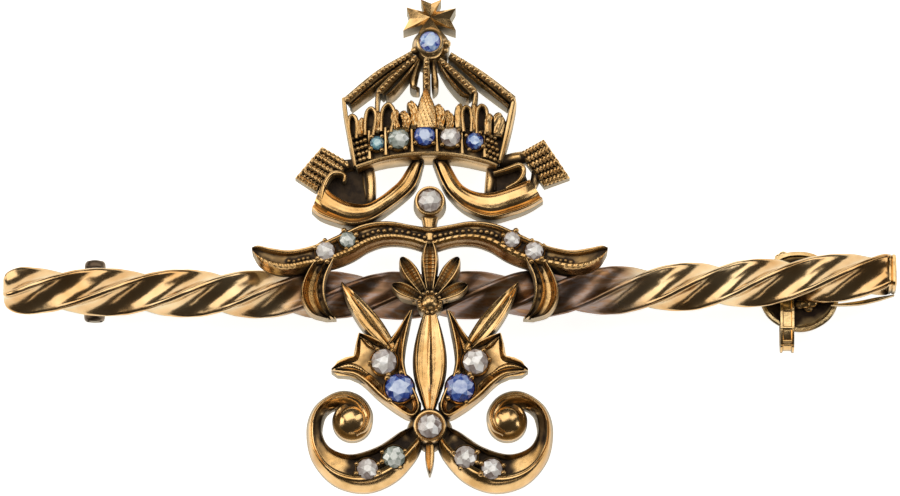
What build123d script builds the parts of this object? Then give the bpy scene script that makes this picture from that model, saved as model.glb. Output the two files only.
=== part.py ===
"""Gold bar brooch: a twisted bar that carries a crown, ribbons and a leafy spray set with stones.

The brooch is drawn in the frame of its face: X runs along the bar to the wearer's left,
Y runs up towards the crown and Z comes out of the front. At the end it is laid on a table
by the three places that it rests on, which are the hinge, the catch and the heel of the crown.
All sizes are in millimetres.
"""

import os
from math import cos, radians, sin, sqrt

from build123d import *

os.makedirs("parts", exist_ok=True)

# Twisted bar. Left and right are as seen from the front, and the spray stands left of the middle.
bar_length = 57.6
bar_left_reach = 27.5
bar_radius = 1.55
flute_radius = 0.93
crest_half_angle = 6.0
left_rise = 0.36
right_rise = 1.2
bar_bow_power = 1.5
end_taper = 0.93
end_cap_thickness = 0.42
end_cap_radius = 1.32
# Where a crest passes the front of the bar, one row for each quarter turn, as shares of its length.
crest_shares = [0.030, 0.125, 0.214, 0.294, 0.373, 0.453, 0.532, 0.611, 0.691, 0.773, 0.850, 0.939]
stations_per_quarter = 3

# Levels of the cast front, measured from the axis of the bar towards the viewer.
spray_back = 0.8
bed_level = 1.9
rim_level = 2.5
collet_level = 2.75
ribbon_level = 2.6
loop_level = 1.55

# Zones of the front, from the axis of the bar.
arm_reach = 11.46
arm_rise = 4.46
ribbon_reach = 8.95
crown_lift = 8.36
crown_half_width = 5.65
crown_height = 10.58
bloom_reach = 6.38
collet_drop = 9.02
foot_reach = 7.95
foot_drop = 4.2

# Crown, which bulges forward as half of a round crown does.
crown_back = 0.55
crown_front = 3.25
crown_side_level = 2.2
crown_relief = 0.28
arch_width = 0.62
arch_ridge_width = 0.34
upright_width = 0.55
band_rim_width = 0.45
bulb_half_width = 1.2
bulb_height = 1.7
orb_proud = 0.15
cross_arm = 1.16
cross_side_arm = 1.6
cross_flare = 0.66
cross_waist = 0.2
cross_notch = 0.8
tongue_half_width = 0.34
tongue_ridge_share = 0.72
drum_overreach = 1.1

# Spray.
palmette_length = 4.1
palmette_drop = 0.9
lobe_half_width = 0.56
lobe_ridge_share = 0.6
lobe_widest = 0.65
lobe_slimming = 0.4
lobe_angles = [90, 58, 26]
lobe_lengths = [1.0, 0.86, 0.66]
boss_radius = 0.8
lance_half_width = 0.58
lance_ridge_share = 0.55
volute_radius = 0.95
drop_half_width = 0.3
arm_bed_width = 0.6
cup_bed_width = 0.45
foot_bed_width = 0.45
upper_collet_radius = 0.97
lower_collet_radius = 1.06
post_width = 0.95
post_foot_share = 0.8

# Ribbons with fringed ends, and the shoulder that a plain leaf has before its belly.
strap_width = 0.78
fringe_rows = 5
fringe_cord_width = 0.3
fringe_cord_start = 0.25
fringe_cord_end = 0.02
strap_ridge_share = 0.5
leaf_shoulder = 0.4
leaf_shoulder_width = 0.8

# Stones, and the gap that each keeps in its seat.
stone_gap = 0.03
seat_wall = 0.14
table_share = 0.55
stone_crown_share = 0.2
girdle_share = 0.07
pavilion_share = 0.26
culet_share = 0.12
stone_sides = 8

# Hinge, pin and catch on the back of the bar.
hinge_place = 21.7
knuckle_radius = 0.62
knuckle_length = 1.25
cheek_length = 0.85
yoke_width = 1.0
yoke_web_depth = 1.15
yoke_root_depth = 0.46
hinge_shift = 0.45
hinge_depth = 2.2
pin_radius = 0.36
pin_tip_radius = 0.14
pin_eye_length = 0.9
pin_gap = 0.06
rivet_radius = 0.24
rivet_gap = 0.03
rivet_head_radius = 0.42
rivet_head_length = 0.22
rivet_head_taper = 20
catch_place = 23.85
catch_shift = -0.32
dish_radius = 2.7
dish_thickness = 0.35
dish_depth = 1.7
dish_hollow = 0.45
hook_place = 23.1
hook_width = 0.78
hook_thickness = 0.35
hook_drop = 3.35
hook_back = 3.2
hook_front = 1.2
hook_top = 0.35
pin_tip_overrun = 1.0
pin_root = 0.18
pin_rest_up = 0.1


def spots(table, reach, low, high):
    """Points of a table of shares: the first column is across, the second from low to high."""
    return [(across * reach, low + up * (high - low)) for across, up in table]


def on_side(points, side):
    """The same points on the right (side 1) or the left (side -1)."""
    return [(side * across, up) for across, up in points]


def draw_border(runs):
    """The border of a flat shape: a run of two points is straight, a longer one is a smooth curve."""
    with BuildLine() as border:
        for points in runs:
            if len(points) > 2:
                Spline(*points)
            else:
                Line(*points)
    return border.edges()


def lay_shape(runs, mode=Mode.ADD):
    """A flat shape inside its border, laid into the sketch that is open."""
    return make_face(draw_border(runs), mode=mode)


def lay_stroke(points, width, mode=Mode.ADD):
    """A band of even width along a run of points, laid into the sketch that is open."""
    return trace(draw_border([points]), line_width=width, mode=mode)


def leaf_runs(root, tip, half_width, widest=0.55):
    """The two curved sides of a plain leaf from its root to its tip."""
    along = Vector(*tip) - Vector(*root)
    across = Vector(-along.Y, along.X).normalized() * half_width
    belly = Vector(*root) + along * widest
    shoulder = Vector(*root) + along * widest * leaf_shoulder
    runs = []
    for sign in (1, -1):
        shoulder_point = shoulder + across * leaf_shoulder_width * sign
        belly_point = belly + across * sign
        points = [root, tuple(shoulder_point)[:2], tuple(belly_point)[:2], tip]
        runs.append(points)
    runs[1].reverse()
    return runs


# Places along the bar.
def bar_rise(along):
    """How far the bowed bar lies above its middle, at a place along it."""
    share = along / (bar_length - bar_left_reach) if along > 0 else -along / bar_left_reach
    rise = right_rise if along > 0 else left_rise
    return rise * share**bar_bow_power


def bar_station(quarter):
    """The place along the bar at which it has turned by so many quarters."""
    last = len(crest_shares) - 1
    step = max(0, min(last - 1, int(quarter // 1)))
    start, end = crest_shares[step], crest_shares[step + 1]
    return bar_length * (start + (quarter - step) * (end - start)) - bar_left_reach


def bar_quarter(along):
    """How many quarters the bar has turned at a place along it."""
    share = (along + bar_left_reach) / bar_length
    last = len(crest_shares) - 1
    step = sum(1 for crest in crest_shares[1:last] if crest <= share)
    start, end = crest_shares[step], crest_shares[step + 1]
    return step + (share - start) / (end - start)


def bar_section_plane(along):
    """The plane across the bar, with its own X towards the crown and its own Y to the front."""
    return Plane(origin=(along, bar_rise(along), 0), x_dir=(0, 1, 0), z_dir=(1, 0, 0))


def bar_section(along, size):
    """The section of the bar: four blunt crests with hollow flutes between them."""
    turn = 90 * bar_quarter(along)
    with BuildSketch(bar_section_plane(along)) as section:
        with BuildLine():
            for crest in range(4):
                middle = radians(90 - turn + 90 * crest)
                half = radians(crest_half_angle)
                flute = middle + radians(45)
                after = middle + radians(90)
                left = (size * bar_radius * cos(middle - half), size * bar_radius * sin(middle - half))
                right = (size * bar_radius * cos(middle + half), size * bar_radius * sin(middle + half))
                hollow = (size * flute_radius * cos(flute), size * flute_radius * sin(flute))
                next_left = (size * bar_radius * cos(after - half), size * bar_radius * sin(after - half))
                Line(left, right)
                ThreePointArc(right, hollow, next_left)
        make_face()
    return section.sketch


bar_left_end = -bar_left_reach
bar_right_end = bar_length - bar_left_reach - end_cap_thickness
first_quarter = bar_quarter(bar_left_end)
last_quarter = bar_quarter(bar_right_end)
inner_steps = range(int(first_quarter * stations_per_quarter) + 1, int(last_quarter * stations_per_quarter) + 1)
stations = [bar_station(step / stations_per_quarter) for step in inner_steps]
sections = [bar_section(bar_left_end, end_taper)]
sections += [bar_section(along, 1.0) for along in stations if bar_left_end + 1 < along < bar_right_end - 1]
sections += [bar_section(bar_right_end, end_taper)]

with BuildPart() as twisted_bar:
    loft(sections)
    # The right end is closed by a small soldered cap.
    with BuildSketch(bar_section_plane(bar_right_end - end_cap_thickness)):
        Circle(end_cap_radius)
    extrude(amount=2 * end_cap_thickness)

# The crown's front is part of a drum whose axis runs up the crown.
crown_swell = crown_front - crown_side_level
drum_radius = (crown_half_width**2 + crown_swell**2) / (2 * crown_swell)
crown_top = crown_lift + crown_height


def drum_level(across, lift=0.0):
    """How far forward the crown's front lies at a distance from its middle."""
    return crown_front + lift - drum_radius + sqrt(drum_radius**2 - across**2)


def crown_spots(table):
    return spots(table, crown_half_width, crown_lift, crown_top)


band_bottom = crown_spots([(-0.814, -0.025), (0.0, 0.05), (0.814, -0.025)])
band_rim_line = crown_spots([(-0.82, 0.0), (0.0, 0.074), (0.82, 0.0)])
band_top = crown_spots([(0.883, 0.15), (0.0, 0.215), (-0.883, 0.15)])
gallery_top = crown_spots([(0.95, 0.25), (0.0, 0.285), (-0.95, 0.25)])
centre_arch = crown_spots([(0.0, 0.7), (0.0, 0.4)])
middle_arch = crown_spots([(0.1, 0.68), (0.3, 0.59), (0.46, 0.505), (0.56, 0.415)])
outer_arch = crown_spots([(0.18, 0.7), (0.524, 0.608), (0.752, 0.521), (0.97, 0.4)])
middle_upright = crown_spots([(0.5, 0.26), (0.55, 0.43)])
outer_upright = crown_spots([(0.87, 0.16), (0.965, 0.4)])
# Tongues of the gallery: across, height of the tip, share of the half width.
tongue_rows = [
    (0.0, 0.445, 1.2),
    (0.155, 0.375, 1.0),
    (0.31, 0.36, 1.0),
    (0.5, 0.42, 0.9),
    (0.65, 0.35, 0.95),
    (0.8, 0.34, 0.9),
    (0.925, 0.375, 0.7),
]
tongue_lean = 0.92
tongue_foot_drop = 0.06
orb_place = crown_spots([(0.0, 0.72)])[0]
cross_place = crown_spots([(0.0, 0.888)])[0]
stone_table = {
    "band_sapphire_left": (-0.6, 0.105, 0.9),
    "band_diamond_left": (-0.355, 0.128, 1.35),
    "band_sapphire_middle": (-0.06, 0.145, 1.32),
    "band_diamond_right": (0.235, 0.137, 1.28),
    "band_sapphire_right": (0.51, 0.115, 1.1),
}


def tongue_runs(across, top, width, side, scale):
    """The outline of one upright tongue of the gallery."""
    foot = gallery_foot(across) + tongue_foot_drop
    root = crown_spots([(side * across * tongue_lean, foot)])[0]
    tip = crown_spots([(side * across, top)])[0]
    half = tongue_half_width * width * scale
    left, right = (root[0] - half, root[1]), (root[0] + half, root[1])
    middle_height = (root[1] + tip[1]) / 2
    middle_across = (root[0] + tip[0]) / 2
    left_side = [left, (middle_across - half, middle_height), tip]
    right_side = [tip, (middle_across + half, middle_height), right]
    return [left_side, right_side, [right, left]]


def gallery_foot(across):
    """The height, as a share, at which the gallery stands on the band."""
    return 0.16 - 0.06 * across**2


def cross_arm_runs(direction, reach):
    """One flared arm of the cross, with a notch in its end."""
    along = Vector(cos(radians(direction)), sin(radians(direction)))
    across = Vector(-along.Y, along.X)
    middle = Vector(*cross_place)
    corners = [
        middle - across * cross_waist,
        middle + along * reach - across * cross_flare,
        middle + along * reach * cross_notch,
        middle + along * reach + across * cross_flare,
        middle + across * cross_waist,
    ]
    corners = [tuple(corner)[:2] for corner in corners]
    return [[corners[step], corners[(step + 1) % 5]] for step in range(5)]


def lay_crown_shape():
    """The pierced outline of the crown, in the sketch that is open."""
    lay_shape([band_bottom, [band_bottom[-1], band_top[0]], band_top, [band_top[-1], band_bottom[0]]])
    lay_shape([band_top, [band_top[-1], gallery_top[-1]], gallery_top[::-1], [gallery_top[0], band_top[0]]])
    lay_stroke(centre_arch, arch_width)
    for side in (1, -1):
        lay_stroke(on_side(middle_arch, side), arch_width)
        lay_stroke(on_side(outer_arch, side), arch_width)
        lay_stroke(on_side(middle_upright, side), upright_width)
        lay_stroke(on_side(outer_upright, side), upright_width)
    for across, top, width in tongue_rows:
        for side in (1, -1) if across > 0 else (1,):
            lay_shape(tongue_runs(across, top, width, side, 1.0))
    with Locations(orb_place):
        Ellipse(bulb_half_width, bulb_height / 2)
    for direction, reach in ((90, cross_arm), (0, cross_side_arm), (180, cross_side_arm), (270, cross_arm)):
        lay_shape(cross_arm_runs(direction, reach))


def lay_crown_relief():
    """What stands proud on the crown: rim, tongues and the ridge of each arch."""
    lay_stroke(band_rim_line, band_rim_width)
    lay_stroke(centre_arch, arch_ridge_width)
    for side in (1, -1):
        lay_stroke(on_side(middle_arch, side), arch_ridge_width)
        lay_stroke(on_side(outer_arch, side), arch_ridge_width)
    for across, top, width in tongue_rows:
        for side in (1, -1) if across > 0 else (1,):
            lay_shape(tongue_runs(across, top, width, side, tongue_ridge_share))


def drum_profile(lift):
    """The section of the crown across its width, between its back and its bulging front."""
    half = crown_half_width * drum_overreach
    front = drum_level(half, lift)
    with BuildSketch(Plane.XZ) as profile:
        with BuildLine():
            Line((-half, front), (-half, crown_back))
            Line((-half, crown_back), (half, crown_back))
            Line((half, crown_back), (half, front))
            ThreePointArc((half, front), (0, crown_front + lift), (-half, front))
        make_face()
    return profile.sketch


with BuildPart() as crown_body:
    with BuildSketch(Plane.XY.offset(crown_back)):
        lay_crown_shape()
    extrude(amount=crown_front)
    extrude(drum_profile(0), amount=-2 * crown_top, mode=Mode.INTERSECT)

with BuildPart() as crown_ridges:
    with BuildSketch(Plane.XY.offset(crown_back)):
        lay_crown_relief()
    extrude(amount=crown_front + crown_relief)
    extrude(drum_profile(crown_relief), amount=-2 * crown_top, mode=Mode.INTERSECT)

# Outlines of the spray on the right. Each row is across and up, as shares of its zone.
arm_upper = spots(
    [
        (0.0, 0.905),
        (0.101, 0.941),
        (0.236, 1.0),
        (0.371, 0.963),
        (0.522, 0.794),
        (0.618, 0.684),
        (0.730, 0.595),
        (0.843, 0.588),
        (0.933, 0.640),
        (1.0, 0.603),
    ],
    arm_reach,
    0,
    arm_rise,
)
arm_under = spots(
    [(1.0, 0.603), (0.966, 0.404), (0.899, 0.287), (0.820, 0.242), (0.719, 0.294), (0.652, 0.404)],
    arm_reach,
    0,
    arm_rise,
)
arm_inner = spots(
    [(0.539, 0.345), (0.449, 0.515), (0.348, 0.676), (0.236, 0.743), (0.124, 0.728), (0.0, 0.62)],
    arm_reach,
    0,
    arm_rise,
)
leaf_outer = spots(
    [(0.645, 0.5), (0.708, 0.213), (0.725, -0.022), (0.691, -0.258), (0.612, -0.42), (0.517, -0.42)],
    arm_reach,
    0,
    arm_rise,
)
leaf_inner = spots(
    [(0.517, -0.42), (0.567, -0.228), (0.590, -0.022), (0.579, 0.169), (0.545, 0.45)],
    arm_reach,
    0,
    arm_rise,
)
lance_root = spots([(0.36, 0.46)], bloom_reach, 0, -collet_drop)[0]
lance_tip = spots([(0.889, -0.054)], bloom_reach, 0, -collet_drop)[0]
petal_side = spots(
    [(0.0, 0.06), (0.131, 0.34), (0.172, 0.535), (0.121, 0.709), (0.0, 0.92)],
    bloom_reach,
    0,
    -collet_drop,
)
cup_runs = [
    spots(run, bloom_reach, 0, -collet_drop)
    for run in (
        [(0.101, 0.949), (0.364, 0.855), (0.606, 0.709), (0.808, 0.629), (0.929, 0.622), (1.0, 0.586)],
        [(1.0, 0.586), (0.929, 0.513), (0.768, 0.476)],
        [(0.768, 0.476), (0.747, 0.396), (0.717, 0.309)],
        [(0.717, 0.309), (0.586, 0.346), (0.444, 0.389)],
        [(0.444, 0.389), (0.303, 0.27), (0.165, 0.13)],
        [(0.165, 0.13), (0.235, 0.37), (0.253, 0.535), (0.192, 0.695), (0.081, 0.825)],
        [(0.081, 0.825), (0.101, 0.949)],
    )
]
foot_low = -collet_drop - foot_drop
foot_runs = [
    spots(run, foot_reach, -collet_drop, foot_low)
    for run in (
        [
            (0.049, 0.188),
            (0.113, 0.469),
            (0.283, 0.813),
            (0.518, 0.992),
            (0.769, 0.859),
            (0.947, 0.484),
            (1.0, 0.031),
            (0.939, -0.328),
            (0.798, -0.547),
            (0.664, -0.602),
            (0.526, -0.484),
            (0.453, -0.234),
            (0.494, 0.047),
            (0.632, 0.195),
            (0.753, 0.109),
            (0.785, -0.117),
        ],
        [(0.785, -0.117), (0.818, -0.234), (0.858, -0.141)],
        [(0.858, -0.141), (0.866, 0.094), (0.794, 0.297), (0.632, 0.395), (0.421, 0.287), (0.227, 0.062)],
        [(0.227, 0.062), (0.06, -0.05)],
        [(0.06, -0.05), (0.049, 0.188)],
    )
]
# Middle lines of the beds that are sunk between the rims, on the right.
arm_beds = [
    spots(line, arm_reach, 0, arm_rise)
    for line in (
        [(0.1, 0.83), (0.236, 0.872), (0.345, 0.83)],
        [(0.7, 0.47), (0.77, 0.425), (0.88, 0.45)],
        [(0.637, 0.25), (0.655, 0.05), (0.65, -0.13), (0.615, -0.3)],
    )
]
cup_beds = [
    spots(line, bloom_reach, 0, -collet_drop)
    for line in (
        [(0.245, 0.275), (0.31, 0.365), (0.37, 0.4)],
        [(0.64, 0.38), (0.69, 0.46)],
        [(0.66, 0.59), (0.78, 0.55), (0.9, 0.56)],
    )
]
foot_beds = [
    spots(line, foot_reach, -collet_drop, foot_low)
    for line in ([(0.72, 0.66), (0.86, 0.42), (0.93, 0.05), (0.89, -0.23), (0.78, -0.42)],)
]
volute_place = spots([(0.625, -0.13)], foot_reach, -collet_drop, foot_low)[0]
drop_root, drop_tip = spots([(0.0, 0.1), (0.0, 0.72)], foot_reach, -collet_drop, foot_low)
upper_collet = spots([(0.0, 0.318)], ribbon_reach, arm_rise, crown_lift)[0]
lower_collet = (0.0, -collet_drop)
post_runs = [(0.0, arm_rise * post_foot_share), upper_collet]

# Ribbons: the left one and the right one differ a little, as they do on a hand-made piece.
ribbon_tables = {
    "left": {
        "strap": [(-0.06, 1.2), (-0.151, 0.697), (-0.281, 0.361), (-0.446, 0.21)],
        "band": [(-0.842, 0.412), (-0.719, 0.294), (-0.561, 0.244), (-0.417, 0.328), (-0.259, 0.395)],
        "hem": [(-0.23, -0.15), (-0.417, -0.1), (-0.576, -0.042), (-0.719, 0.025), (-0.849, 0.16)],
        "loop": [(-0.82, 0.35), (-0.777, 0.647), (-0.66, 0.86), (-0.52, 0.88), (-0.4, 1.12)],
        "corner": [(-0.417, 0.25)],
        "fringe": [(-0.784, 1.286), (-0.982, 0.739), (-0.78, 0.43), (-0.56, 0.9)],
    },
    "right": {
        "strap": [(0.06, 1.2), (0.158, 0.681), (0.288, 0.429), (0.46, 0.3)],
        "band": [(0.259, 0.479), (0.417, 0.361), (0.576, 0.378), (0.705, 0.513), (0.806, 0.395)],
        "hem": [(0.806, 0.277), (0.647, 0.143), (0.489, 0.0), (0.259, -0.15)],
        "loop": [(0.4, 1.12), (0.5, 0.88), (0.61, 0.93), (0.69, 0.8), (0.74, 0.42)],
        "corner": [(0.417, 0.28)],
        "fringe": [(0.82, 1.42), (1.014, 0.724), (0.78, 0.5), (0.6, 1.1)],
    },
}


def ribbon_spots(side, name):
    return spots(ribbon_tables[side][name], ribbon_reach, arm_rise, crown_lift)


def lay_front_band(side):
    """The broad front turn of one ribbon."""
    band, hem = ribbon_spots(side, "band"), ribbon_spots(side, "hem")
    lay_shape([band, [band[-1], hem[0]], hem, [hem[-1], band[0]]])


def lay_loop_floor(side):
    """The inside of a ribbon's turn, which lies deeper."""
    loop, corner = ribbon_spots(side, "loop"), ribbon_spots(side, "corner")[0]
    lay_shape([loop, [loop[-1], corner], [corner, loop[0]]])


def lay_fringe(side):
    """The block of cords at a ribbon's end."""
    corners = ribbon_spots(side, "fringe")
    lay_shape([[corners[step], corners[(step + 1) % 4]] for step in range(4)])


def lay_fringe_cords(side):
    """The raised cords of the fringe, which run out from the ribbon."""
    top_out, low_out, low_in, top_in = [Vector(*corner) for corner in ribbon_spots(side, "fringe")]
    for row in range(fringe_rows):
        share = (row + 0.5) / fringe_rows
        start = top_in + (low_in - top_in) * share
        end = top_out + (low_out - top_out) * share
        start, end = start + (end - start) * fringe_cord_start, end + (start - end) * fringe_cord_end
        lay_stroke([tuple(start)[:2], tuple(end)[:2]], fringe_cord_width)


def lay_spray():
    """The flat shape of the spray: arms, hanging leaves, bloom, feet and the post below the crown."""
    for side in (1, -1):
        upper, under, inner = (on_side(run, side) for run in (arm_upper, arm_under, arm_inner))
        lay_shape([upper, under, [under[-1], inner[0]], inner, [inner[-1], upper[0]]])
        outer_edge, inner_edge = on_side(leaf_outer, side), on_side(leaf_inner, side)
        lay_shape([outer_edge, inner_edge, [inner_edge[-1], outer_edge[0]]])
        lay_shape([on_side(run, side) for run in cup_runs])
        lay_shape([on_side(run, side) for run in foot_runs])
    lay_shape(leaf_runs(drop_root, drop_tip, drop_half_width))
    lay_stroke(post_runs, post_width)


def lobe_places():
    """Root, tip and half width of each lobe of the palmette."""
    root = (0.0, -palmette_drop)
    for angle, length in zip(lobe_angles, lobe_lengths):
        for side in (1, -1) if angle != 90 else (1,):
            reach = palmette_length * length
            tip = (side * reach * cos(radians(angle)), root[1] + reach * sin(radians(angle)))
            yield root, tip, lobe_half_width * (1 - lobe_slimming * (1 - length))


def lay_beds():
    """The sunken beds inside the rims of arms, hanging leaves, cups and feet."""
    for side in (1, -1):
        for beds, width in ((arm_beds, arm_bed_width), (cup_beds, cup_bed_width), (foot_beds, foot_bed_width)):
            for points in beds:
                lay_stroke(on_side(points, side), width)


spray_stones = {}
for side, name in ((-1, "left"), (1, "right")):
    for label, share, reach, low, high, width in (
        ("arm_diamond_inner", (0.461, 0.72), arm_reach, 0, arm_rise, 1.05),
        ("arm_diamond_outer", (0.585, 0.55), arm_reach, 0, arm_rise, 1.2),
        ("bloom_diamond", (0.46, 0.53), bloom_reach, 0, -collet_drop, 1.62),
        ("bloom_sapphire", (0.305, 0.72), bloom_reach, 0, -collet_drop, 1.82),
        ("foot_diamond_inner", (0.287, 0.47), foot_reach, -collet_drop, foot_low, 1.45),
        ("foot_diamond_outer", (0.5, 0.655), foot_reach, -collet_drop, foot_low, 1.35),
    ):
        place = on_side(spots([share], reach, low, high), side)[0]
        spray_stones[f"{label}_{name}"] = (place, rim_level, width)
spray_stones["collet_diamond_upper"] = (upper_collet, collet_level, 1.48)
spray_stones["collet_diamond_lower"] = (lower_collet, collet_level, 1.55)
crown_stones = {
    name: (crown_spots([(across, up)])[0], drum_level(across * crown_half_width), width)
    for name, (across, up, width) in stone_table.items()
}
crown_stones["orb_sapphire"] = (orb_place, crown_front + crown_relief + orb_proud, 1.33)


def cut_seats(stones):
    """Round seats for stones, cut into the part that is open."""
    for place, level, width in stones.values():
        depth = width * (pavilion_share + girdle_share) + stone_gap
        with BuildSketch(Plane.XY.offset(level - depth)) as seat:
            with Locations(place):
                Circle(width / 2 + stone_gap)
        extrude(seat.sketch, amount=2 * depth, mode=Mode.SUBTRACT)


with BuildPart() as crown:
    add(crown_body.part)
    add(crown_ridges.part)
    # Each stone of the band stands in a low collar, and the orb is a taller one.
    for place, level, width in crown_stones.values():
        with BuildSketch(Plane.XY.offset(crown_back)):
            with Locations(place):
                Circle(width / 2 + stone_gap + seat_wall)
        extrude(amount=level - crown_back)
    cut_seats(crown_stones)

with BuildPart() as spray:
    # Arms, leaves, bloom and feet stand up to their rims, with the collars of their stones.
    with BuildSketch(Plane.XY.offset(spray_back)):
        lay_spray()
        for place, level, width in spray_stones.values():
            with Locations(place):
                Circle(width / 2 + stone_gap + seat_wall)
    extrude(amount=rim_level - spray_back)
    with BuildSketch(Plane.XY.offset(bed_level)):
        lay_beds()
        for place, level, width in spray_stones.values():
            with Locations(place):
                Circle(width / 2 + stone_gap + seat_wall, mode=Mode.SUBTRACT)
    extrude(amount=rim_level, mode=Mode.SUBTRACT)
    # Ribbons: straps and fringes lie low, the turn's inside lower, and the front turn is proud.
    with BuildSketch(Plane.XY.offset(spray_back)):
        for side in ribbon_tables:
            lay_fringe(side)
            lay_stroke(ribbon_spots(side, "strap"), strap_width)
        for root, tip, half_width in lobe_places():
            lay_shape(leaf_runs(root, tip, half_width, lobe_widest))
        for side in (1, -1):
            root, tip = on_side([lance_root, lance_tip], side)
            lay_shape(leaf_runs(root, tip, lance_half_width))
    extrude(amount=bed_level - spray_back)
    with BuildSketch(Plane.XY.offset(spray_back)):
        for side in ribbon_tables:
            lay_loop_floor(side)
    extrude(amount=loop_level - spray_back)
    with BuildSketch(Plane.XY.offset(spray_back)):
        for side in ribbon_tables:
            lay_fringe_cords(side)
    extrude(amount=rim_level - spray_back)
    with BuildSketch(Plane.XY.offset(spray_back)):
        for side in ribbon_tables:
            lay_front_band(side)
            lay_stroke(ribbon_spots(side, "strap"), strap_width * strap_ridge_share)
        for root, tip, half_width in lobe_places():
            lay_shape(leaf_runs(root, tip, half_width * lobe_ridge_share, lobe_widest))
        for side in (1, -1):
            root, tip = on_side([lance_root, lance_tip], side)
            lay_shape(leaf_runs(root, tip, lance_half_width * lance_ridge_share))
        lay_shape([petal_side, on_side(petal_side, -1)[::-1]])
        with Locations((0, -palmette_drop)):
            Circle(boss_radius)
    extrude(amount=ribbon_level - spray_back)
    with BuildSketch(Plane.XY.offset(spray_back)):
        with Locations(upper_collet):
            Circle(upper_collet_radius)
        with Locations(lower_collet):
            Circle(lower_collet_radius)
    extrude(amount=collet_level - spray_back)
    volute_level = spray_back + volute_radius
    with Locations(*[(side * volute_place[0], volute_place[1], volute_level) for side in (1, -1)]):
        Sphere(volute_radius)
    cut_seats(spray_stones)

# Fittings on the back. The hinge's barrel runs across the bar.
hinge_along = -hinge_place
hinge_up = bar_rise(hinge_along) + hinge_shift
catch_up = bar_rise(catch_place) + catch_shift
knuckle_start = pin_eye_length / 2 + pin_gap
yoke_half = knuckle_start + cheek_length


def across_plane(along):
    """A plane across the bar, with its own X up towards the crown and its own Y to the front."""
    return Plane(origin=(along, 0, 0), x_dir=(0, 1, 0), z_dir=(1, 0, 0))


def barrel_plane(up):
    """A plane that the barrel of the hinge passes through square, at a height up the brooch."""
    return Plane(origin=(hinge_along, up, -hinge_depth), x_dir=(1, 0, 0), z_dir=(0, 1, 0))


with BuildPart() as hinge:
    for side in (1, -1):
        with BuildSketch(barrel_plane(hinge_up + side * knuckle_start)):
            Circle(knuckle_radius)
        extrude(amount=side * knuckle_length)
    # One yoke, soldered to the back of the bar, carries both knuckles and clears the pin's eye.
    with BuildSketch(across_plane(hinge_along - yoke_width / 2)):
        with BuildLine():
            Polyline(
                (hinge_up - yoke_half, -hinge_depth),
                (hinge_up - knuckle_start, -hinge_depth),
                (hinge_up - knuckle_start, -yoke_web_depth),
                (hinge_up + knuckle_start, -yoke_web_depth),
                (hinge_up + knuckle_start, -hinge_depth),
                (hinge_up + yoke_half, -hinge_depth),
                (hinge_up + yoke_half, -yoke_root_depth),
                (hinge_up - yoke_half, -yoke_root_depth),
                close=True,
            )
        make_face()
    extrude(amount=yoke_width)
    for side in (1, -1):
        with BuildSketch(barrel_plane(hinge_up)):
            Circle(rivet_radius + rivet_gap)
        extrude(amount=side * 2 * (knuckle_start + knuckle_length), mode=Mode.SUBTRACT)

dish_curve = (dish_radius**2 + dish_hollow**2) / (2 * dish_hollow)


def dish_points(share, below=0.0):
    """A point of the dished plate at a share of its radius: out from its middle, and its level."""
    out = dish_radius * share
    return (out, -dish_depth - below + dish_curve - sqrt(dish_curve**2 - out**2))


with BuildPart() as catch:
    # A dished round plate, turned about an axis that points to the front.
    with BuildSketch(Plane(origin=(catch_place, catch_up, 0), x_dir=(1, 0, 0), z_dir=(0, -1, 0))):
        with BuildLine():
            Line(dish_points(0, dish_thickness), dish_points(0))
            ThreePointArc(dish_points(0), dish_points(0.5), dish_points(1))
            Line(dish_points(1), dish_points(1, dish_thickness))
            ThreePointArc(
                dish_points(1, dish_thickness), dish_points(0.5, dish_thickness), dish_points(0, dish_thickness)
            )
        make_face()
    revolve(axis=Axis((catch_place, catch_up, 0), (0, 0, 1)))
    # The hook is a bent strip that goes under the plate's edge and up behind the pin.
    bend_radius = (hook_back - hook_front) / 2
    bend_up = -hook_drop + bend_radius
    with BuildSketch(across_plane(hook_place - hook_width / 2)):
        with BuildLine():
            Line((0, -hook_front), (bend_up, -hook_front))
            ThreePointArc(
                (bend_up, -hook_front),
                (bend_up - bend_radius, -hook_front - bend_radius),
                (bend_up, -hook_back),
            )
            Line((bend_up, -hook_back), (hook_top, -hook_back))
            Line((hook_top, -hook_back), (hook_top, -hook_back + hook_thickness))
            Line((hook_top, -hook_back + hook_thickness), (bend_up, -hook_back + hook_thickness))
            ThreePointArc(
                (bend_up, -hook_back + hook_thickness),
                (bend_up - bend_radius + hook_thickness, -hook_front - bend_radius),
                (bend_up, -hook_front - hook_thickness),
            )
            Line((bend_up, -hook_front - hook_thickness), (0, -hook_front - hook_thickness))
            Line((0, -hook_front - hook_thickness), (0, -hook_front))
        make_face()
    extrude(amount=hook_width)

with BuildPart() as gold_body:
    add(twisted_bar.part)
    add(spray.part)
    add(crown.part)
    add(hinge.part)
    add(catch.part)

# The pin is one plain piece: an eye round the rivet and a stem that tapers to its point.
pin_start = Vector(hinge_along, hinge_up, -hinge_depth)
pin_rest = Vector(hook_place, pin_rest_up, -(dish_depth + dish_thickness + hook_back - hook_thickness) / 2)
pin_line = pin_rest - pin_start
pin_way = pin_line.normalized()
pin_length = pin_line.length + pin_tip_overrun
pin_plane = Plane(origin=pin_start, x_dir=pin_way, z_dir=pin_way.cross(Vector(0, 0, 1)))

with BuildPart() as pin_stem:
    with BuildSketch(barrel_plane(hinge_up - pin_eye_length / 2)):
        Circle(knuckle_radius)
    extrude(amount=pin_eye_length)
    with BuildSketch(pin_plane):
        with BuildLine():
            Polyline((pin_root, 0), (pin_length, 0), (pin_length, pin_tip_radius), (pin_root, pin_radius), close=True)
        make_face()
    revolve(axis=Axis(pin_start, pin_way))
    with BuildSketch(barrel_plane(hinge_up - pin_eye_length)):
        Circle(rivet_radius + rivet_gap)
    extrude(amount=2 * pin_eye_length, mode=Mode.SUBTRACT)

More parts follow.
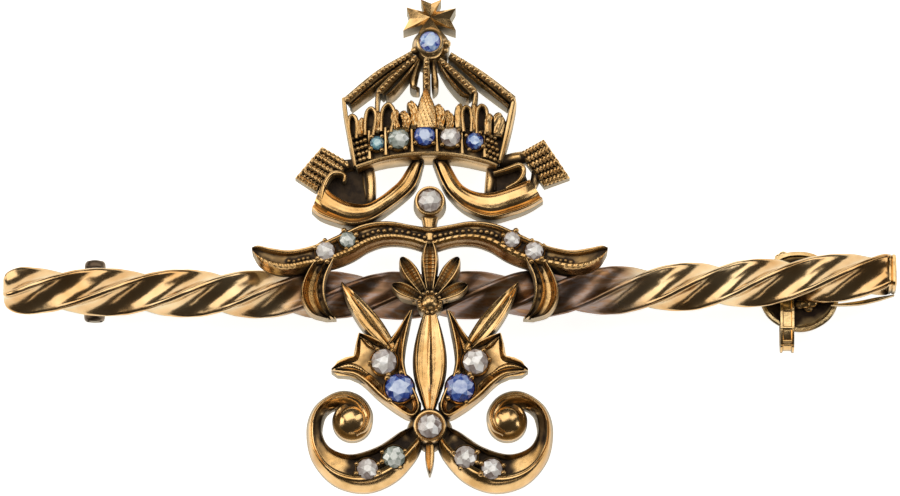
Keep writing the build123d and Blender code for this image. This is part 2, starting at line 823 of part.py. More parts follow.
barrel_half = knuckle_start + knuckle_length
with BuildPart() as hinge_rivet:
    with BuildSketch(barrel_plane(hinge_up - barrel_half - rivet_gap)):
        Circle(rivet_radius)
    extrude(amount=2 * (barrel_half + rivet_gap))
    for side in (1, -1):
        with BuildSketch(barrel_plane(hinge_up + side * (barrel_half + rivet_gap))):
            Circle(rivet_head_radius)
        extrude(amount=side * rivet_head_length, taper=rivet_head_taper)


def cut_stone(place, level, width):
    """One stone with a flat table, its facets, a thin girdle and a shallow cone below."""
    radius = width / 2
    girdle = level - girdle_share * width
    with BuildPart() as stone:
        for height, size in (
            (girdle - pavilion_share * width, culet_share),
            (girdle, 1.0),
            (level, 1.0),
            (level + stone_crown_share * width, table_share),
        ):
            with BuildSketch(Plane.XY.offset(height)):
                with Locations(place):
                    RegularPolygon(radius * size, stone_sides)
        loft(ruled=True)
    return stone


pieces = {"gold_body": gold_body, "pin_stem": pin_stem, "hinge_rivet": hinge_rivet}
for name, (place, level, width) in {**crown_stones, **spray_stones}.items():
    pieces[name] = cut_stone(place, level, width)

# The three places that it rests on: a point of each and how far the metal stands round it.
crown_heel = (-cross_flare, cross_place[1] + cross_arm, crown_back)
hinge_heel = (hinge_along, hinge_up + barrel_half, -hinge_depth)
hook_heel = (hook_place - hook_width / 2, hook_top, -hook_back)
rests = [(crown_heel, 0.0), (hinge_heel, knuckle_radius), (hook_heel, 0.0)]
up = Vector(0, 0, 1)
for _ in range(8):
    heel, left_foot, right_foot = (Vector(*point) - up * round_radius for point, round_radius in rests)
    up = (right_foot - left_foot).cross(heel - left_foot).normalized()
table_plane = Plane(origin=heel, x_dir=Vector(1, 0, 0) - up * up.X, z_dir=up)
laid = table_plane.location.inverse()
lowest = min((piece.part.moved(laid).bounding_box().min.Z for piece in pieces.values()))
whole = Compound([piece.part.moved(laid) for piece in pieces.values()]).bounding_box()
rest_place = Pos(-whole.center().X, -whole.center().Y, -lowest) * laid

for name, piece in pieces.items():
    piece.part = piece.part.moved(rest_place)
    piece.part.label = name
    export_step(piece.part, f"parts/{name}.step")
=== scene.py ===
# %% [markdown]
# # A gold bar brooch with a crown, ribbons and a leafy spray
#
# The brooch lies face up on a pale table. A twisted gold bar carries a cast ornament: a small
# crown on top, two fringed ribbons, a pair of leafy arms and a flower-like bloom on scrolled
# feet, set with small blue and colourless stones.
#
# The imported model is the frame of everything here. Each cell makes one group of pieces and
# prints what it made.

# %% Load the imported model
from math import atan2, cos, degrees, pi, radians, sin, sqrt

import bmesh
import bpy
import numpy as np
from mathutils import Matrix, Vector
from mathutils.bvhtree import BVHTree


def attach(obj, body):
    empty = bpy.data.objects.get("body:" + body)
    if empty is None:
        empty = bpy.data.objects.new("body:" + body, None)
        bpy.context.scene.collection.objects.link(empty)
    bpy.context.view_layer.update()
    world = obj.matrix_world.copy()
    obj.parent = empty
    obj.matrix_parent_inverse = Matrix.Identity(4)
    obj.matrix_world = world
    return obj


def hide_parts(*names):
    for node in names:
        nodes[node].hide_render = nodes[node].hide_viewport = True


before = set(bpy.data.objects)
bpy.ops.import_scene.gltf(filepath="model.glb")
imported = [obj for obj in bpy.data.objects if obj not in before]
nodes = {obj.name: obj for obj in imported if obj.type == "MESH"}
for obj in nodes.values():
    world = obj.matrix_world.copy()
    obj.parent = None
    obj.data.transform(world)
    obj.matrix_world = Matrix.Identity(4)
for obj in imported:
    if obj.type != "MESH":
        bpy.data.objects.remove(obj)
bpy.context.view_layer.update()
print("nodes in the frame:", len(nodes))

# %% [markdown]
# ## The brooch's own plane
#
# Every piece is drawn in millimetres in the plane of the brooch's face: across to the right,
# up to the crown, and out towards the eye, with the axis of the bar at level 0. The tables hold
# shares of the zone that they lie in, so they follow the zone's size.

# %% Sizes of the brooch, in millimetres
bar_length = 57.6
bar_left_reach = 27.5
bar_radius = 1.55
flute_radius = 0.93
left_rise = 0.36
right_rise = 1.45
bar_bow_power = 1.5
crest_half_angle = 6.0
crest_shares = [0.030, 0.125, 0.214, 0.294, 0.373, 0.453, 0.532, 0.611, 0.691, 0.773, 0.850, 0.939]

spray_back = 0.8
bed_level = 1.9
rim_level = 2.5
collet_level = 2.75
loop_level = 1.55
crown_back = 0.55
crown_front = 3.25
crown_side_level = 2.2

arm_reach = 11.46
arm_rise = 4.46
ribbon_reach = 8.95
crown_lift = 8.36
crown_half_width = 5.65
crown_height = 10.58
bloom_reach = 6.38
collet_drop = 9.02
foot_reach = 7.95
foot_drop = 4.2
foot_low = -collet_drop - foot_drop

stone_gap = 0.03
crown_swell = crown_front - crown_side_level
drum_radius = (crown_half_width**2 + crown_swell**2) / (2 * crown_swell)
drum_edge = 6.2


def spots(table, reach, low, high):
    """Points of a table of shares: pairs of columns are across and up, from low to high."""
    rows = np.array(table, float)
    rows[:, 0::2] *= reach
    rows[:, 1::2] = low + rows[:, 1::2] * (high - low)
    return rows


def on_side(rows, side):
    """The same rows on the right (side 1) or the left (side -1)."""
    mirrored = np.array(rows, float)
    mirrored[:, 0] *= side
    if mirrored.shape[1] > 3:
        mirrored[:, 2] *= side
    return mirrored


def laid(zone, table, columns=2):
    """A table whose first columns are shares of a zone, in millimetres; the other columns stay."""
    rows = np.array(table, float)
    return np.hstack([zone(rows[:, :columns]), rows[:, columns:]])


def arm_spots(table):
    return spots(table, arm_reach, 0, arm_rise)


def bloom_spots(table):
    return spots(table, bloom_reach, 0, -collet_drop)


def foot_spots(table):
    return spots(table, foot_reach, -collet_drop, foot_low)


def crown_spots(table):
    return spots(table, crown_half_width, crown_lift, crown_lift + crown_height)


def drum_level(across):
    """How far forward the bulging crown lies at a distance from its middle."""
    return crown_front - drum_radius + np.sqrt(drum_radius**2 - np.minimum(np.abs(across), drum_edge) ** 2)


print("drum radius", round(drum_radius, 2), "mm")

# %% [markdown]
# ## Stones, and where the face lies in the frame
#
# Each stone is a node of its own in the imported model. Their drawn places and their packed
# places together give the one turn and shift that lays the face into the frame.

# %% Places of the stones and the lay of the face
upper_collet = (0.0, arm_rise + 0.318 * (crown_lift - arm_rise))
lower_collet = (0.0, -collet_drop)
# Name, across, up, width, in shares of the crown.
crown_stone_rows = [
    ("band_sapphire_left", -0.6, 0.105, 0.9),
    ("band_diamond_left", -0.355, 0.128, 1.35),
    ("band_sapphire_middle", -0.06, 0.145, 1.32),
    ("band_diamond_right", 0.235, 0.137, 1.28),
    ("band_sapphire_right", 0.51, 0.115, 1.1),
]
# Name, place in its zone, width.
spray_stone_rows = [
    ("arm_diamond_inner", arm_spots([(0.461, 0.72)])[0], 1.05),
    ("arm_diamond_outer", arm_spots([(0.585, 0.55)])[0], 1.2),
    ("bloom_diamond", bloom_spots([(0.46, 0.53)])[0], 1.62),
    ("bloom_sapphire", bloom_spots([(0.305, 0.72)])[0], 1.82),
    ("foot_diamond_inner", foot_spots([(0.287, 0.47)])[0], 1.45),
    ("foot_diamond_outer", foot_spots([(0.5, 0.655)])[0], 1.35),
]
stones = {}
for name, across, up, width in crown_stone_rows:
    place = crown_spots([(across, up)])[0]
    stones[name] = (place, float(drum_level(place[0])), width)
for side, label in ((-1, "left"), (1, "right")):
    for name, place, width in spray_stone_rows:
        stones[f"{name}_{label}"] = (place * np.array([side, 1]), rim_level, width)
stones["collet_diamond_upper"] = (np.array(upper_collet), collet_level, 1.48)
stones["collet_diamond_lower"] = (np.array(lower_collet), collet_level, 1.55)
orb_place = crown_spots([(0.0, 0.72)])[0]
stones["orb_sapphire"] = (orb_place, crown_front + 0.43, 1.33)


def node_centre(name):
    """The mean of a packed stone's corners, each counted once, in millimetres."""
    corners = {tuple(np.round(np.array(v.co) * 1e6).astype(int)) for v in nodes[name].data.vertices}
    return np.array(sorted(corners)).mean(axis=0) * 1e-3


drawn = np.array([(*place, level - 0.05 * width) for place, level, width in stones.values()])
packed = np.array([node_centre(name) for name in stones])
spread = (drawn - drawn.mean(axis=0)).T @ (packed - packed.mean(axis=0))
left_turn, _, right_turn = np.linalg.svd(spread)
face_turn = right_turn.T @ np.diag([1, 1, np.sign(np.linalg.det(right_turn.T @ left_turn.T))]) @ left_turn.T
face_shift = packed.mean(axis=0) - face_turn @ drawn.mean(axis=0)
misfit = np.abs(drawn @ face_turn.T + face_shift - packed).max()
tilt = degrees(atan2(face_turn[2, 1], face_turn[2, 2]))
print("face tilt", round(tilt, 2), "degrees, misfit", round(misfit, 4), "mm")

# %% [markdown]
# ## Shells
#
# A shell is a closed skin: an array of points in the face's millimetres and a list of faces.
# Strips, plates, turned rings and grains are all shells, and a piece is a few of them together.


# %% Curves and shells
def smooth_rows(rows, count):
    """A smooth run through the rows of a table, evenly in row number."""
    rows = np.asarray(rows, float)
    if len(rows) == 2:
        blend = np.linspace(0, 1, count)[:, None]
        return rows[0] * (1 - blend) + rows[1] * blend
    padded = np.vstack([2 * rows[0] - rows[1], rows, 2 * rows[-1] - rows[-2]])
    place = np.linspace(0, len(rows) - 1, count)
    step = np.minimum(place.astype(int), len(rows) - 2)
    part = (place - step)[:, None]
    before, start, end, after = (padded[step + shift] for shift in range(4))
    bend = 2 * before - 5 * start + 4 * end - after
    twist = -before + 3 * start - 3 * end + after
    return 0.5 * (2 * start + (end - before) * part + bend * part**2 + twist * part**3)


def soft_step(low, high, value):
    """0 below low, 1 above high and a soft rise between."""
    share = np.clip((value - low) / (high - low), 0, 1)
    return share * share * (3 - 2 * share)


def profile(*knots):
    """The height across a strip from knots of (share across, height), joined by soft steps."""
    shares, heights = np.array(knots, float).T

    def shape(run, share):
        place = np.interp(share, shares, np.arange(len(shares)))
        step = np.minimum(place.astype(int), len(shares) - 2)
        soft = soft_step(0, 1, place - step)
        return heights[step] * (1 - soft) + heights[step + 1] * soft + 0 * run

    return shape


def rounded(height):
    """The height across a strip that is half round."""
    return lambda run, share: height * (np.sqrt(np.maximum(1 - share**2, 0)) - 1) + 0 * run


def with_ends(shape, depth, start=0.1, end=0.1):
    """The same shape, sinking by depth over its first and last shares."""

    def sunk(run, share):
        fall = 1 - soft_step(0, max(start, 1e-6), run) * (1 - soft_step(1 - end, 1, run))
        return shape(run, share) - depth * fall

    return sunk


def grooved(shape, depth, count, lean=0.0, low=-1.0, high=1.0):
    """The same shape with fine grooves cut across it between two shares of its width."""

    def cut(run, share):
        where = soft_step(low, low + 0.1, share) * (1 - soft_step(high - 0.1, high, share))
        return shape(run, share) - depth * where * (0.5 + 0.5 * np.cos(2 * pi * (run * count + share * lean)))

    return cut


def tube_shell(loops):
    """A closed skin over a stack of loops, each an array of points."""
    count, around = loops.shape[:2]
    index = np.arange(count * around).reshape(count, around)
    low, high = index[:-1], index[1:]
    quads = np.stack([low, np.roll(low, -1, 1), np.roll(high, -1, 1), high], axis=-1).reshape(-1, 4)
    faces = quads.tolist()
    faces.append(index[0][::-1].tolist())
    faces.append(index[-1].tolist())
    return loops.reshape(-1, 3), faces


def skirted(surface, back):
    """A relief surface with walls down to its back."""
    left = surface[:, :1].copy()
    right = surface[:, -1:].copy()
    left[..., 2] = back
    right[..., 2] = back
    return tube_shell(np.concatenate([right, left, surface], axis=1))


def relief(rows, top, shape, back=spray_back, along=90, across=21):
    """A cast strip between two borders. Each row: left across, left up, right across, right up.

    A fifth column is a lift of the level at that row. The top is a level or a function of across."""
    path = smooth_rows(rows, along)
    share = np.sin(np.linspace(-pi / 2, pi / 2, across))
    blend = ((1 + share) / 2)[None, :, None]
    plan = path[:, None, 0:2] * (1 - blend) + path[:, None, 2:4] * blend
    base = top(plan[..., 0]) if callable(top) else top + 0 * plan[..., 0]
    if path.shape[1] > 4:
        base = base + path[:, 4:5]
    run = np.linspace(0, 1, along)[:, None]
    height = base + shape(run, share[None, :])
    return skirted(np.dstack([plan, np.maximum(height, back + 0.02)]), back)


def ribbon_of(spine, along=60):
    """Borders of a strip from rows of across, up, half width and perhaps a lift."""
    path = smooth_rows(spine, along)
    direction = np.gradient(path[:, :2], axis=0)
    direction /= np.linalg.norm(direction, axis=1)[:, None] + 1e-9
    side = np.stack([-direction[:, 1], direction[:, 0]], axis=1) * path[:, 2:3]
    borders = [path[:, :2] + side, path[:, :2] - side]
    if path.shape[1] > 3:
        borders.append(path[:, 3:4])
    return np.hstack(borders)


def rim(spine, top, shape, back=spray_back, along=60, across=11):
    """A cast strip along a spine."""
    return relief(ribbon_of(spine, along), top, shape, back, along, across)


def plate(outline, top, back=spray_back):
    """A flat plate inside an outline."""
    outline = np.asarray(outline, float)
    if np.sum(outline[:, 0] * np.roll(outline[:, 1], -1) - outline[:, 1] * np.roll(outline[:, 0], -1)) < 0:
        outline = outline[::-1]
    count = len(outline)
    level = top(outline[:, 0]) if callable(top) else np.full(count, top)
    points = np.vstack([np.c_[outline, np.full(count, back)], np.c_[outline, level]])
    faces = [[i, (i + 1) % count, count + (i + 1) % count, count + i] for i in range(count)]
    faces.append(list(range(count))[::-1])
    faces.append(list(range(count, 2 * count)))
    return points, faces


def turned(rows, place, around=48, bump=None):
    """A ring or dome turned about an axis that points to the eye. Rows: radius, level."""
    angle = np.linspace(0, 2 * pi, around, endpoint=False)
    wave = 1 + (bump(angle) if bump else 0)
    loops = []
    for radius, level in rows:
        across = place[0] + radius * wave * np.cos(angle)
        up = place[1] + radius * wave * np.sin(angle)
        loops.append(np.c_[across, up, np.full(around, level)])
    return tube_shell(np.array(loops))


def make_ball(parts):
    """Points and faces of a unit ball of small triangles."""
    made = bmesh.new()
    bmesh.ops.create_icosphere(made, subdivisions=parts, radius=1)
    points = np.array([v.co[:] for v in made.verts])
    faces = [[v.index for v in face.verts] for face in made.faces]
    made.free()
    return points, faces


ball_points, ball_faces = make_ball(2)


def grain(across, up, level, radius, rise=1.0):
    """A small round grain of metal; rise is its height as a share of its radius."""
    points = ball_points * np.array([radius, radius, radius * rise]) + np.array([across, up, level])
    return points, ball_faces


def merged(shells):
    """One array of points and one list of faces for many shells."""
    points, faces, start = [], [], 0
    for shell_points, shell_faces in shells:
        points.append(shell_points)
        faces += [[index + start for index in face] for face in shell_faces]
        start += len(shell_points)
    return np.vstack(points), faces


print("a grain has", len(ball_faces), "triangles")

# %% [markdown]
# ## Pouring a piece
#
# A piece is poured from its shells, laid into the frame and set to ride with the part. The
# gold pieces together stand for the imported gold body, which isn't shown.

# %% Pour shells into a piece
gold_pieces = []
drawn_points = {}
hand = np.random.default_rng(11)


def lay_in_frame(points):
    """Points of the face in metres of the frame."""
    return (np.asarray(points) @ face_turn.T + face_shift) * 1e-3


def pour(name, shells, sharp=38):
    """One object from shells, in the frame, with edges sharper than an angle kept crisp."""
    points, faces = merged(shells)
    mesh = bpy.data.meshes.new(name)
    mesh.from_pydata(lay_in_frame(points).tolist(), [], faces)
    mesh.update()
    made = bmesh.new()
    made.from_mesh(mesh)
    bmesh.ops.recalc_face_normals(made, faces=made.faces)
    made.to_mesh(mesh)
    made.free()
    mesh.shade_smooth()
    mesh.set_sharp_from_angle(angle=radians(sharp))
    piece = bpy.data.objects.new(name, mesh)
    bpy.context.scene.collection.objects.link(piece)
    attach(piece, "root")
    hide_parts("gold_body")
    gold_pieces.append(piece)
    drawn_points[name] = points
    print(name, "triangles", sum(len(p.vertices) - 2 for p in mesh.polygons))
    return piece


# %% [markdown]
# ## The twisted bar
#
# A square wire with hollow sides, twisted to the left. Its section turns by a quarter between
# two crests, and the crests stand at the places that the photo shows, so the twist is a little
# uneven. The left end is rounded off and the right end is closed by a soldered cap.


# %% Twisted bar
crest_blend = 22.0


def bar_rise(along):
    """How far the bowed bar lies above its middle."""
    share = np.where(along > 0, along / (bar_length - bar_left_reach), -along / bar_left_reach)
    return np.where(along > 0, right_rise, left_rise) * share**bar_bow_power


def section_radius(angle):
    """Radius of the bar at an angle from a crest, in degrees: a blunt crest and hollow sides."""
    local = (angle + 45) % 90 - 45
    to_flute = np.radians(45 - np.abs(local))
    corner = radians(45 - crest_half_angle)
    centre = (bar_radius**2 - flute_radius**2) / (2 * (bar_radius * cos(corner) - flute_radius))
    hollow = centre - flute_radius
    flute = centre * np.cos(to_flute) - np.sqrt(np.maximum(hollow**2 - (centre * np.sin(to_flute)) ** 2, 0))
    crest = bar_radius * cos(radians(crest_half_angle)) / np.cos(np.radians(local))
    return -np.log(np.exp(-flute * crest_blend) + np.exp(-crest * crest_blend)) / crest_blend + 0.015


bar_steps = 420
evened_steps = 12
left_rounding = 1.6
right_rounding = 1.3
crest_places = np.array(crest_shares) * bar_length - bar_left_reach
bar_end = bar_length - bar_left_reach - 0.5
stations = np.linspace(-bar_left_reach, bar_end, bar_steps)
quarters = np.interp(stations, crest_places, np.arange(len(crest_places)))
first_pitch = crest_places[1] - crest_places[0]
last_pitch = crest_places[-1] - crest_places[-2]
quarters = np.where(stations < crest_places[0], (stations - crest_places[0]) / first_pitch, quarters)
quarters = np.where(
    stations > crest_places[-1], len(crest_places) - 1 + (stations - crest_places[-1]) / last_pitch, quarters
)
window = 2 * evened_steps + 1
longer = np.pad(quarters, evened_steps, mode="reflect", reflect_type="odd")
quarters = np.convolve(longer, np.ones(window) / window, mode="valid")
from_left = stations + bar_left_reach
from_right = bar_end - stations
bar_size = 0.5 + 0.5 * np.sqrt(1 - (1 - np.clip(from_left / left_rounding, 0, 1)) ** 2)
bar_size *= 0.9 + 0.1 * np.sqrt(1 - (1 - np.clip(from_right / right_rounding, 0, 1)) ** 2)
around = np.arange(0, 360, 3.0)
angles = 90 - 90 * quarters[:, None] + around[None, :]
radii = section_radius(around)[None, :] * bar_size[:, None]
radii = radii + 0.012 * np.sin(1.9 * stations)[:, None] * np.sin(np.radians(2 * around + 40))[None, :]
radii = radii + 0.008 * np.sin(4.3 * stations[:, None] + np.radians(3 * around)[None, :])
bar_loops = np.stack(
    [
        np.repeat(stations[:, None], len(around), axis=1),
        bar_rise(stations)[:, None] + radii * np.cos(np.radians(angles)),
        radii * np.sin(np.radians(angles)),
    ],
    axis=-1,
)
pour("twisted_bar", [tube_shell(bar_loops)], sharp=60)

# %% [markdown]
# The cap at the right end is a thick disc with rounded edges, pinched where the solder runs.

# %% End cap and solder seam
cap_rise = float(bar_rise(np.array(bar_end)))
cap_rows = [
    (0.9, 0.0), (1.36, 0.02), (1.4, 0.1), (1.33, 0.16), (1.3, 0.2),
    (1.38, 0.27), (1.38, 0.4), (1.28, 0.49), (1.0, 0.5)
]
cap_turn = np.radians(np.arange(0, 360, 6.0))
cap_shape = 0.45 * (section_radius(np.degrees(cap_turn)) / bar_radius) + 0.55
cap_angle = radians(90 - 90 * quarters[-1])
cap_loops = [
    np.c_[
        np.full(len(cap_turn), bar_end + out - 0.02),
        cap_rise + radius * cap_shape * np.cos(cap_turn + cap_angle),
        radius * cap_shape * np.sin(cap_turn + cap_angle),
    ]
    for radius, out in cap_rows
]
solder_leaf = rim(
    [(25.9, -0.5, 0.05), (27.6, -0.36, 0.13), (28.9, -0.1, 0.13), (30.0, 0.16, 0.04)], -0.5, rounded(0.1),
    -0.9, 40, 9
)
pour("bar_end_cap", [tube_shell(np.array(cap_loops)), solder_leaf])

# %% [markdown]
# ## The crown
#
# The crown bulges forward like half of a round crown. A rim carries a band with five stones, a
# gallery of upright striped leaves stands on it, and five beaded arches run up to the orb,
# which carries a small eight-pointed cross.

# %% Crown: rim, stone band and gallery wall
rim_top = crown_spots(
    [
        (-0.855, -0.025), (-0.57, 0.015), (-0.285, 0.039), (0.023, 0.048),
        (0.342, 0.037), (0.627, 0.006), (0.775, -0.022)
    ]
)
rim_low = crown_spots(
    [
        (-0.821, -0.059), (-0.547, -0.016), (-0.274, 0.006), (0.023, 0.013),
        (0.319, 0.004), (0.593, -0.025), (0.752, -0.046)
    ]
)
field_top = crown_spots(
    [
        (-0.91, 0.155), (-0.627, 0.186), (-0.319, 0.201), (-0.034, 0.208),
        (0.251, 0.201), (0.57, 0.186), (0.865, 0.15)
    ]
)
wall_top = crown_spots(
    [
        (-0.955, 0.27), (-0.65, 0.262), (-0.33, 0.268), (-0.034, 0.275),
        (0.27, 0.268), (0.6, 0.262), (0.9, 0.265)
    ]
)


def drum_at(lift):
    """The level of the bulging crown with a lift, as a function of across."""
    return lambda across: drum_level(across) + lift


crown_shells = [
    relief(
        np.hstack([rim_low, rim_top]), drum_at(0.18),
        profile((-1, -0.5), (-0.7, -0.06), (0, 0.06), (0.6, -0.02), (1, -0.3)), crown_back, 90, 15
    ),
    relief(
        np.hstack([rim_top, field_top]), drum_at(-0.48), profile((-1, -0.05), (0, 0.0), (1, -0.05)),
        crown_back, 90, 9
    ),
    relief(
        np.hstack([field_top, wall_top]),
        drum_at(-0.38),
        profile((-1, -0.1), (-0.7, 0.06), (-0.3, -0.08), (0.6, -0.08), (1, -0.4)),
        crown_back,
        90,
        11,
    ),
]
# Upright prongs part the stones: across, foot and head, in shares of the crown.
prong_profile = profile((-1, -0.3), (-0.4, 0.0), (0.4, 0.0), (1, -0.3))
for across, low, high in (
    (-0.5, 0.03, 0.2), (-0.2, 0.045, 0.21), (0.085, 0.045, 0.21),
    (0.37, 0.035, 0.2), (0.625, 0.02, 0.185), (-0.685, 0.01, 0.185)
):
    foot, head = crown_spots([(across, low), (across - 0.01, high)])
    spine = [(*foot, 0.2), (*((foot + head) / 2), 0.11), (*head, 0.18)]
    crown_shells.append(rim(spine, drum_at(-0.06), prong_profile, crown_back, 24, 9))
# Short rows of beads close the band at both ends: first and last place of the lowest row.
for first, last in (((-0.84, 0.0), (-0.7, 0.022)), ((0.645, 0.03), (0.79, 0.0))):
    for row in range(5):
        ends = crown_spots([(across - 0.012 * row, up + 0.036 * row) for across, up in (first, last)])
        for across, up in smooth_rows(ends, 4):
            radius = 0.16 + hand.uniform(-0.03, 0.03)
            crown_shells.append(grain(across, up, drum_level(across) - 0.2, radius, 0.9))
pour("crown_band", crown_shells)

# %% [markdown]
# The gallery is a row of small leaves. Some are only a raised rim bent round a dark hollow, the
# others are full and cut with slanting strokes. The tallest one, in the middle, is a flame.

# %% Crown: gallery leaves
# Foot across, foot up, tip across, tip up (shares of the crown), half width in mm, lean of the
# strokes; an open leaf has none.
leaf_rows = [
    (-0.875, 0.14, -0.885, 0.285, 0.27, None),
    (-0.79, 0.15, -0.775, 0.268, 0.27, 1.6),
    (-0.695, 0.155, -0.665, 0.322, 0.33, None),
    (-0.60, 0.165, -0.585, 0.30, 0.2, -1.2),
    (-0.50, 0.17, -0.465, 0.342, 0.4, None),
    (-0.36, 0.175, -0.40, 0.31, 0.3, 1.8),
    (-0.285, 0.18, -0.30, 0.30, 0.36, -2.2),
    (-0.175, 0.185, -0.215, 0.362, 0.36, -2.4),
    (0.105, 0.185, 0.10, 0.34, 0.36, -2.2),
    (0.22, 0.18, 0.195, 0.30, 0.34, -2.0),
    (0.335, 0.175, 0.345, 0.345, 0.34, 0.5),
    (0.43, 0.17, 0.42, 0.325, 0.3, None),
    (0.505, 0.165, 0.505, 0.35, 0.24, 1.4),
    (0.585, 0.16, 0.60, 0.338, 0.34, None),
    (0.67, 0.155, 0.685, 0.29, 0.28, 1.2),
    (0.775, 0.15, 0.785, 0.30, 0.42, -1.0),
]
full_leaf = profile((-1, -0.45), (-0.75, -0.02), (0, 0.08), (0.75, -0.02), (1, -0.45))
leaf_floor = profile((-1, -0.05), (1, -0.05))
gallery_shells = []
for foot_across, foot_up, tip_across, tip_up, half, lean in leaf_rows:
    foot, tip = crown_spots([(foot_across, foot_up), (tip_across, tip_up)])
    way = (tip - foot) / np.linalg.norm(tip - foot)
    side = np.array([-way[1], way[0]])
    middle = (foot + tip) / 2
    shoulder = tip - way * half * 0.8
    lift = 0.2 + hand.uniform(-0.05, 0.06)
    if lean is None:
        bend = [
            foot + side * half * 0.8, middle + side * half, shoulder + side * half * 0.85,
            tip + side * half * 0.1, shoulder - side * half * 0.8,
            middle - side * half, foot - side * half * 0.8,
        ]
        gallery_shells.append(
            rim(np.c_[bend, np.full(len(bend), 0.13)], drum_at(lift), rounded(0.2), crown_back, 70, 11)
        )
        floor = [(*foot, half * 0.8), (*middle, half), (*shoulder, half * 0.8), (*tip, half * 0.3)]
        gallery_shells.append(rim(floor, drum_at(-0.4), leaf_floor, crown_back, 24, 5))
    else:
        sway = middle + side * 0.07 * lean
        near_tip = 0.07 * foot + 0.93 * tip
        spine = [
            (*foot, half * 0.8), (*sway, half), (*shoulder, half * 0.9), (*near_tip, half * 0.6),
            (*tip, half * 0.2)
        ]
        shape = grooved(with_ends(full_leaf, 0.15, 0.05, 0.2), 0.07, 2.5, lean, -0.9, 0.9)
        gallery_shells.append(rim(spine, drum_at(lift), shape, crown_back, 56, 19))
flame_rows = crown_spots(
    [
        (-0.17, 0.19, 0.09, 0.19), (-0.16, 0.27, 0.085, 0.26), (-0.13, 0.345, 0.06, 0.325),
        (-0.085, 0.41, 0.01, 0.39), (-0.05, 0.455, -0.035, 0.45)
    ]
)
flame = profile((-1, -0.4), (-0.8, 0.0), (-0.3, 0.06), (0.3, 0.06), (0.8, 0.0), (1, -0.4))
gallery_shells.append(
    relief(flame_rows, drum_at(0.3), grooved(flame, 0.09, 4.5, 2.4, -0.95, 0.95), crown_back, 90, 25)
)
pour("crown_gallery", gallery_shells)

# %% [markdown]
# Each arch is a round strip under a row of beads, with a plain lip below it. The uprights at
# the sides are plain, polished posts.

# %% Crown: arches and posts
arch_profile = profile((-1, -0.45), (-0.7, -0.1), (0, 0.0), (0.7, -0.1), (1, -0.45))
# Rows: across, up (shares of the crown), half width in mm.
arch_rows = [
    [(-0.2, 0.658, 0.24), (-0.575, 0.54, 0.3), (-0.94, 0.385, 0.34)],
    [(-0.15, 0.635, 0.22), (-0.38, 0.53, 0.29), (-0.57, 0.425, 0.33)],
    [(-0.04, 0.625, 0.2), (-0.038, 0.53, 0.25), (-0.035, 0.43, 0.25)],
    [(0.11, 0.618, 0.22), (0.31, 0.52, 0.3), (0.5, 0.42, 0.33)],
    [(0.23, 0.65, 0.24), (0.59, 0.53, 0.3), (0.945, 0.39, 0.34)],
]
arch_shells = []
bead_pitch = 0.29
for rows in arch_rows:
    spine = laid(crown_spots, rows)
    arch_shells.append(rim(spine, drum_at(0.12), arch_profile, crown_back, 70, 17))
    dense = smooth_rows(spine, 60)
    length = np.linalg.norm(np.diff(dense[:, :2], axis=0), axis=1).sum()
    count = int(length / bead_pitch)
    for place in smooth_rows(spine, count)[1:]:
        shift = hand.uniform(-0.04, 0.04, 2)
        level = float(drum_level(place[0])) + 0.1
        radius = 0.18 + hand.uniform(-0.03, 0.02)
        arch_shells.append(grain(place[0] + shift[0], place[1] + shift[1], level, radius, 0.9))
# Pointed rims below the arches, and the narrow gables beside the middle one.
plain_rim = profile((-1, -0.4), (-0.5, -0.02), (0.2, 0.03), (1, -0.35))
for rows, lift in (
    ([(-0.2, 0.63, 0.12), (-0.56, 0.49, 0.17), (-0.9, 0.345, 0.13)], 0.08),
    ([(-0.13, 0.62, 0.1), (-0.28, 0.51, 0.15), (-0.42, 0.425, 0.17), (-0.5, 0.40, 0.05)], 0.08),
    ([(-0.12, 0.62, 0.1), (-0.17, 0.54, 0.2), (-0.19, 0.465, 0.2), (-0.12, 0.44, 0.06)], -0.05),
    ([(0.04, 0.615, 0.1), (0.05, 0.54, 0.2), (0.06, 0.47, 0.22), (0.04, 0.43, 0.05)], -0.05),
    ([(0.1, 0.605, 0.1), (0.22, 0.50, 0.15), (0.37, 0.41, 0.17), (0.45, 0.395, 0.05)], 0.08),
    ([(0.24, 0.63, 0.12), (0.57, 0.485, 0.17), (0.9, 0.345, 0.13)], 0.08),
):
    arch_shells.append(rim(laid(crown_spots, rows), drum_at(lift), plain_rim, crown_back, 50, 9))
post_profile = profile((-1, -0.35), (-0.7, 0.0), (0, 0.06), (0.7, 0.0), (1, -0.35))
for rows in (
    [
        (-0.985, 0.4, 0.14), (-0.965, 0.31, 0.15), (-0.93, 0.2, 0.15),
        (-0.88, 0.05, 0.14), (-0.85, -0.03, 0.12)
    ],
    [(0.965, 0.395, 0.12), (0.95, 0.35, 0.22), (0.9, 0.22, 0.24), (0.85, 0.1, 0.2), (0.8, 0.0, 0.14)],
    [(-0.59, 0.42, 0.16), (-0.6, 0.37, 0.15), (-0.6, 0.3, 0.16)],
    [(0.525, 0.42, 0.16), (0.515, 0.37, 0.17), (0.49, 0.31, 0.17)],
):
    arch_shells.append(rim(laid(crown_spots, rows), drum_at(0.1), post_profile, crown_back, 40, 11))
pour("crown_arches", arch_shells)

# %% [markdown]
# The orb is a bulb with a tube setting for its stone, and the cross above it has eight points.

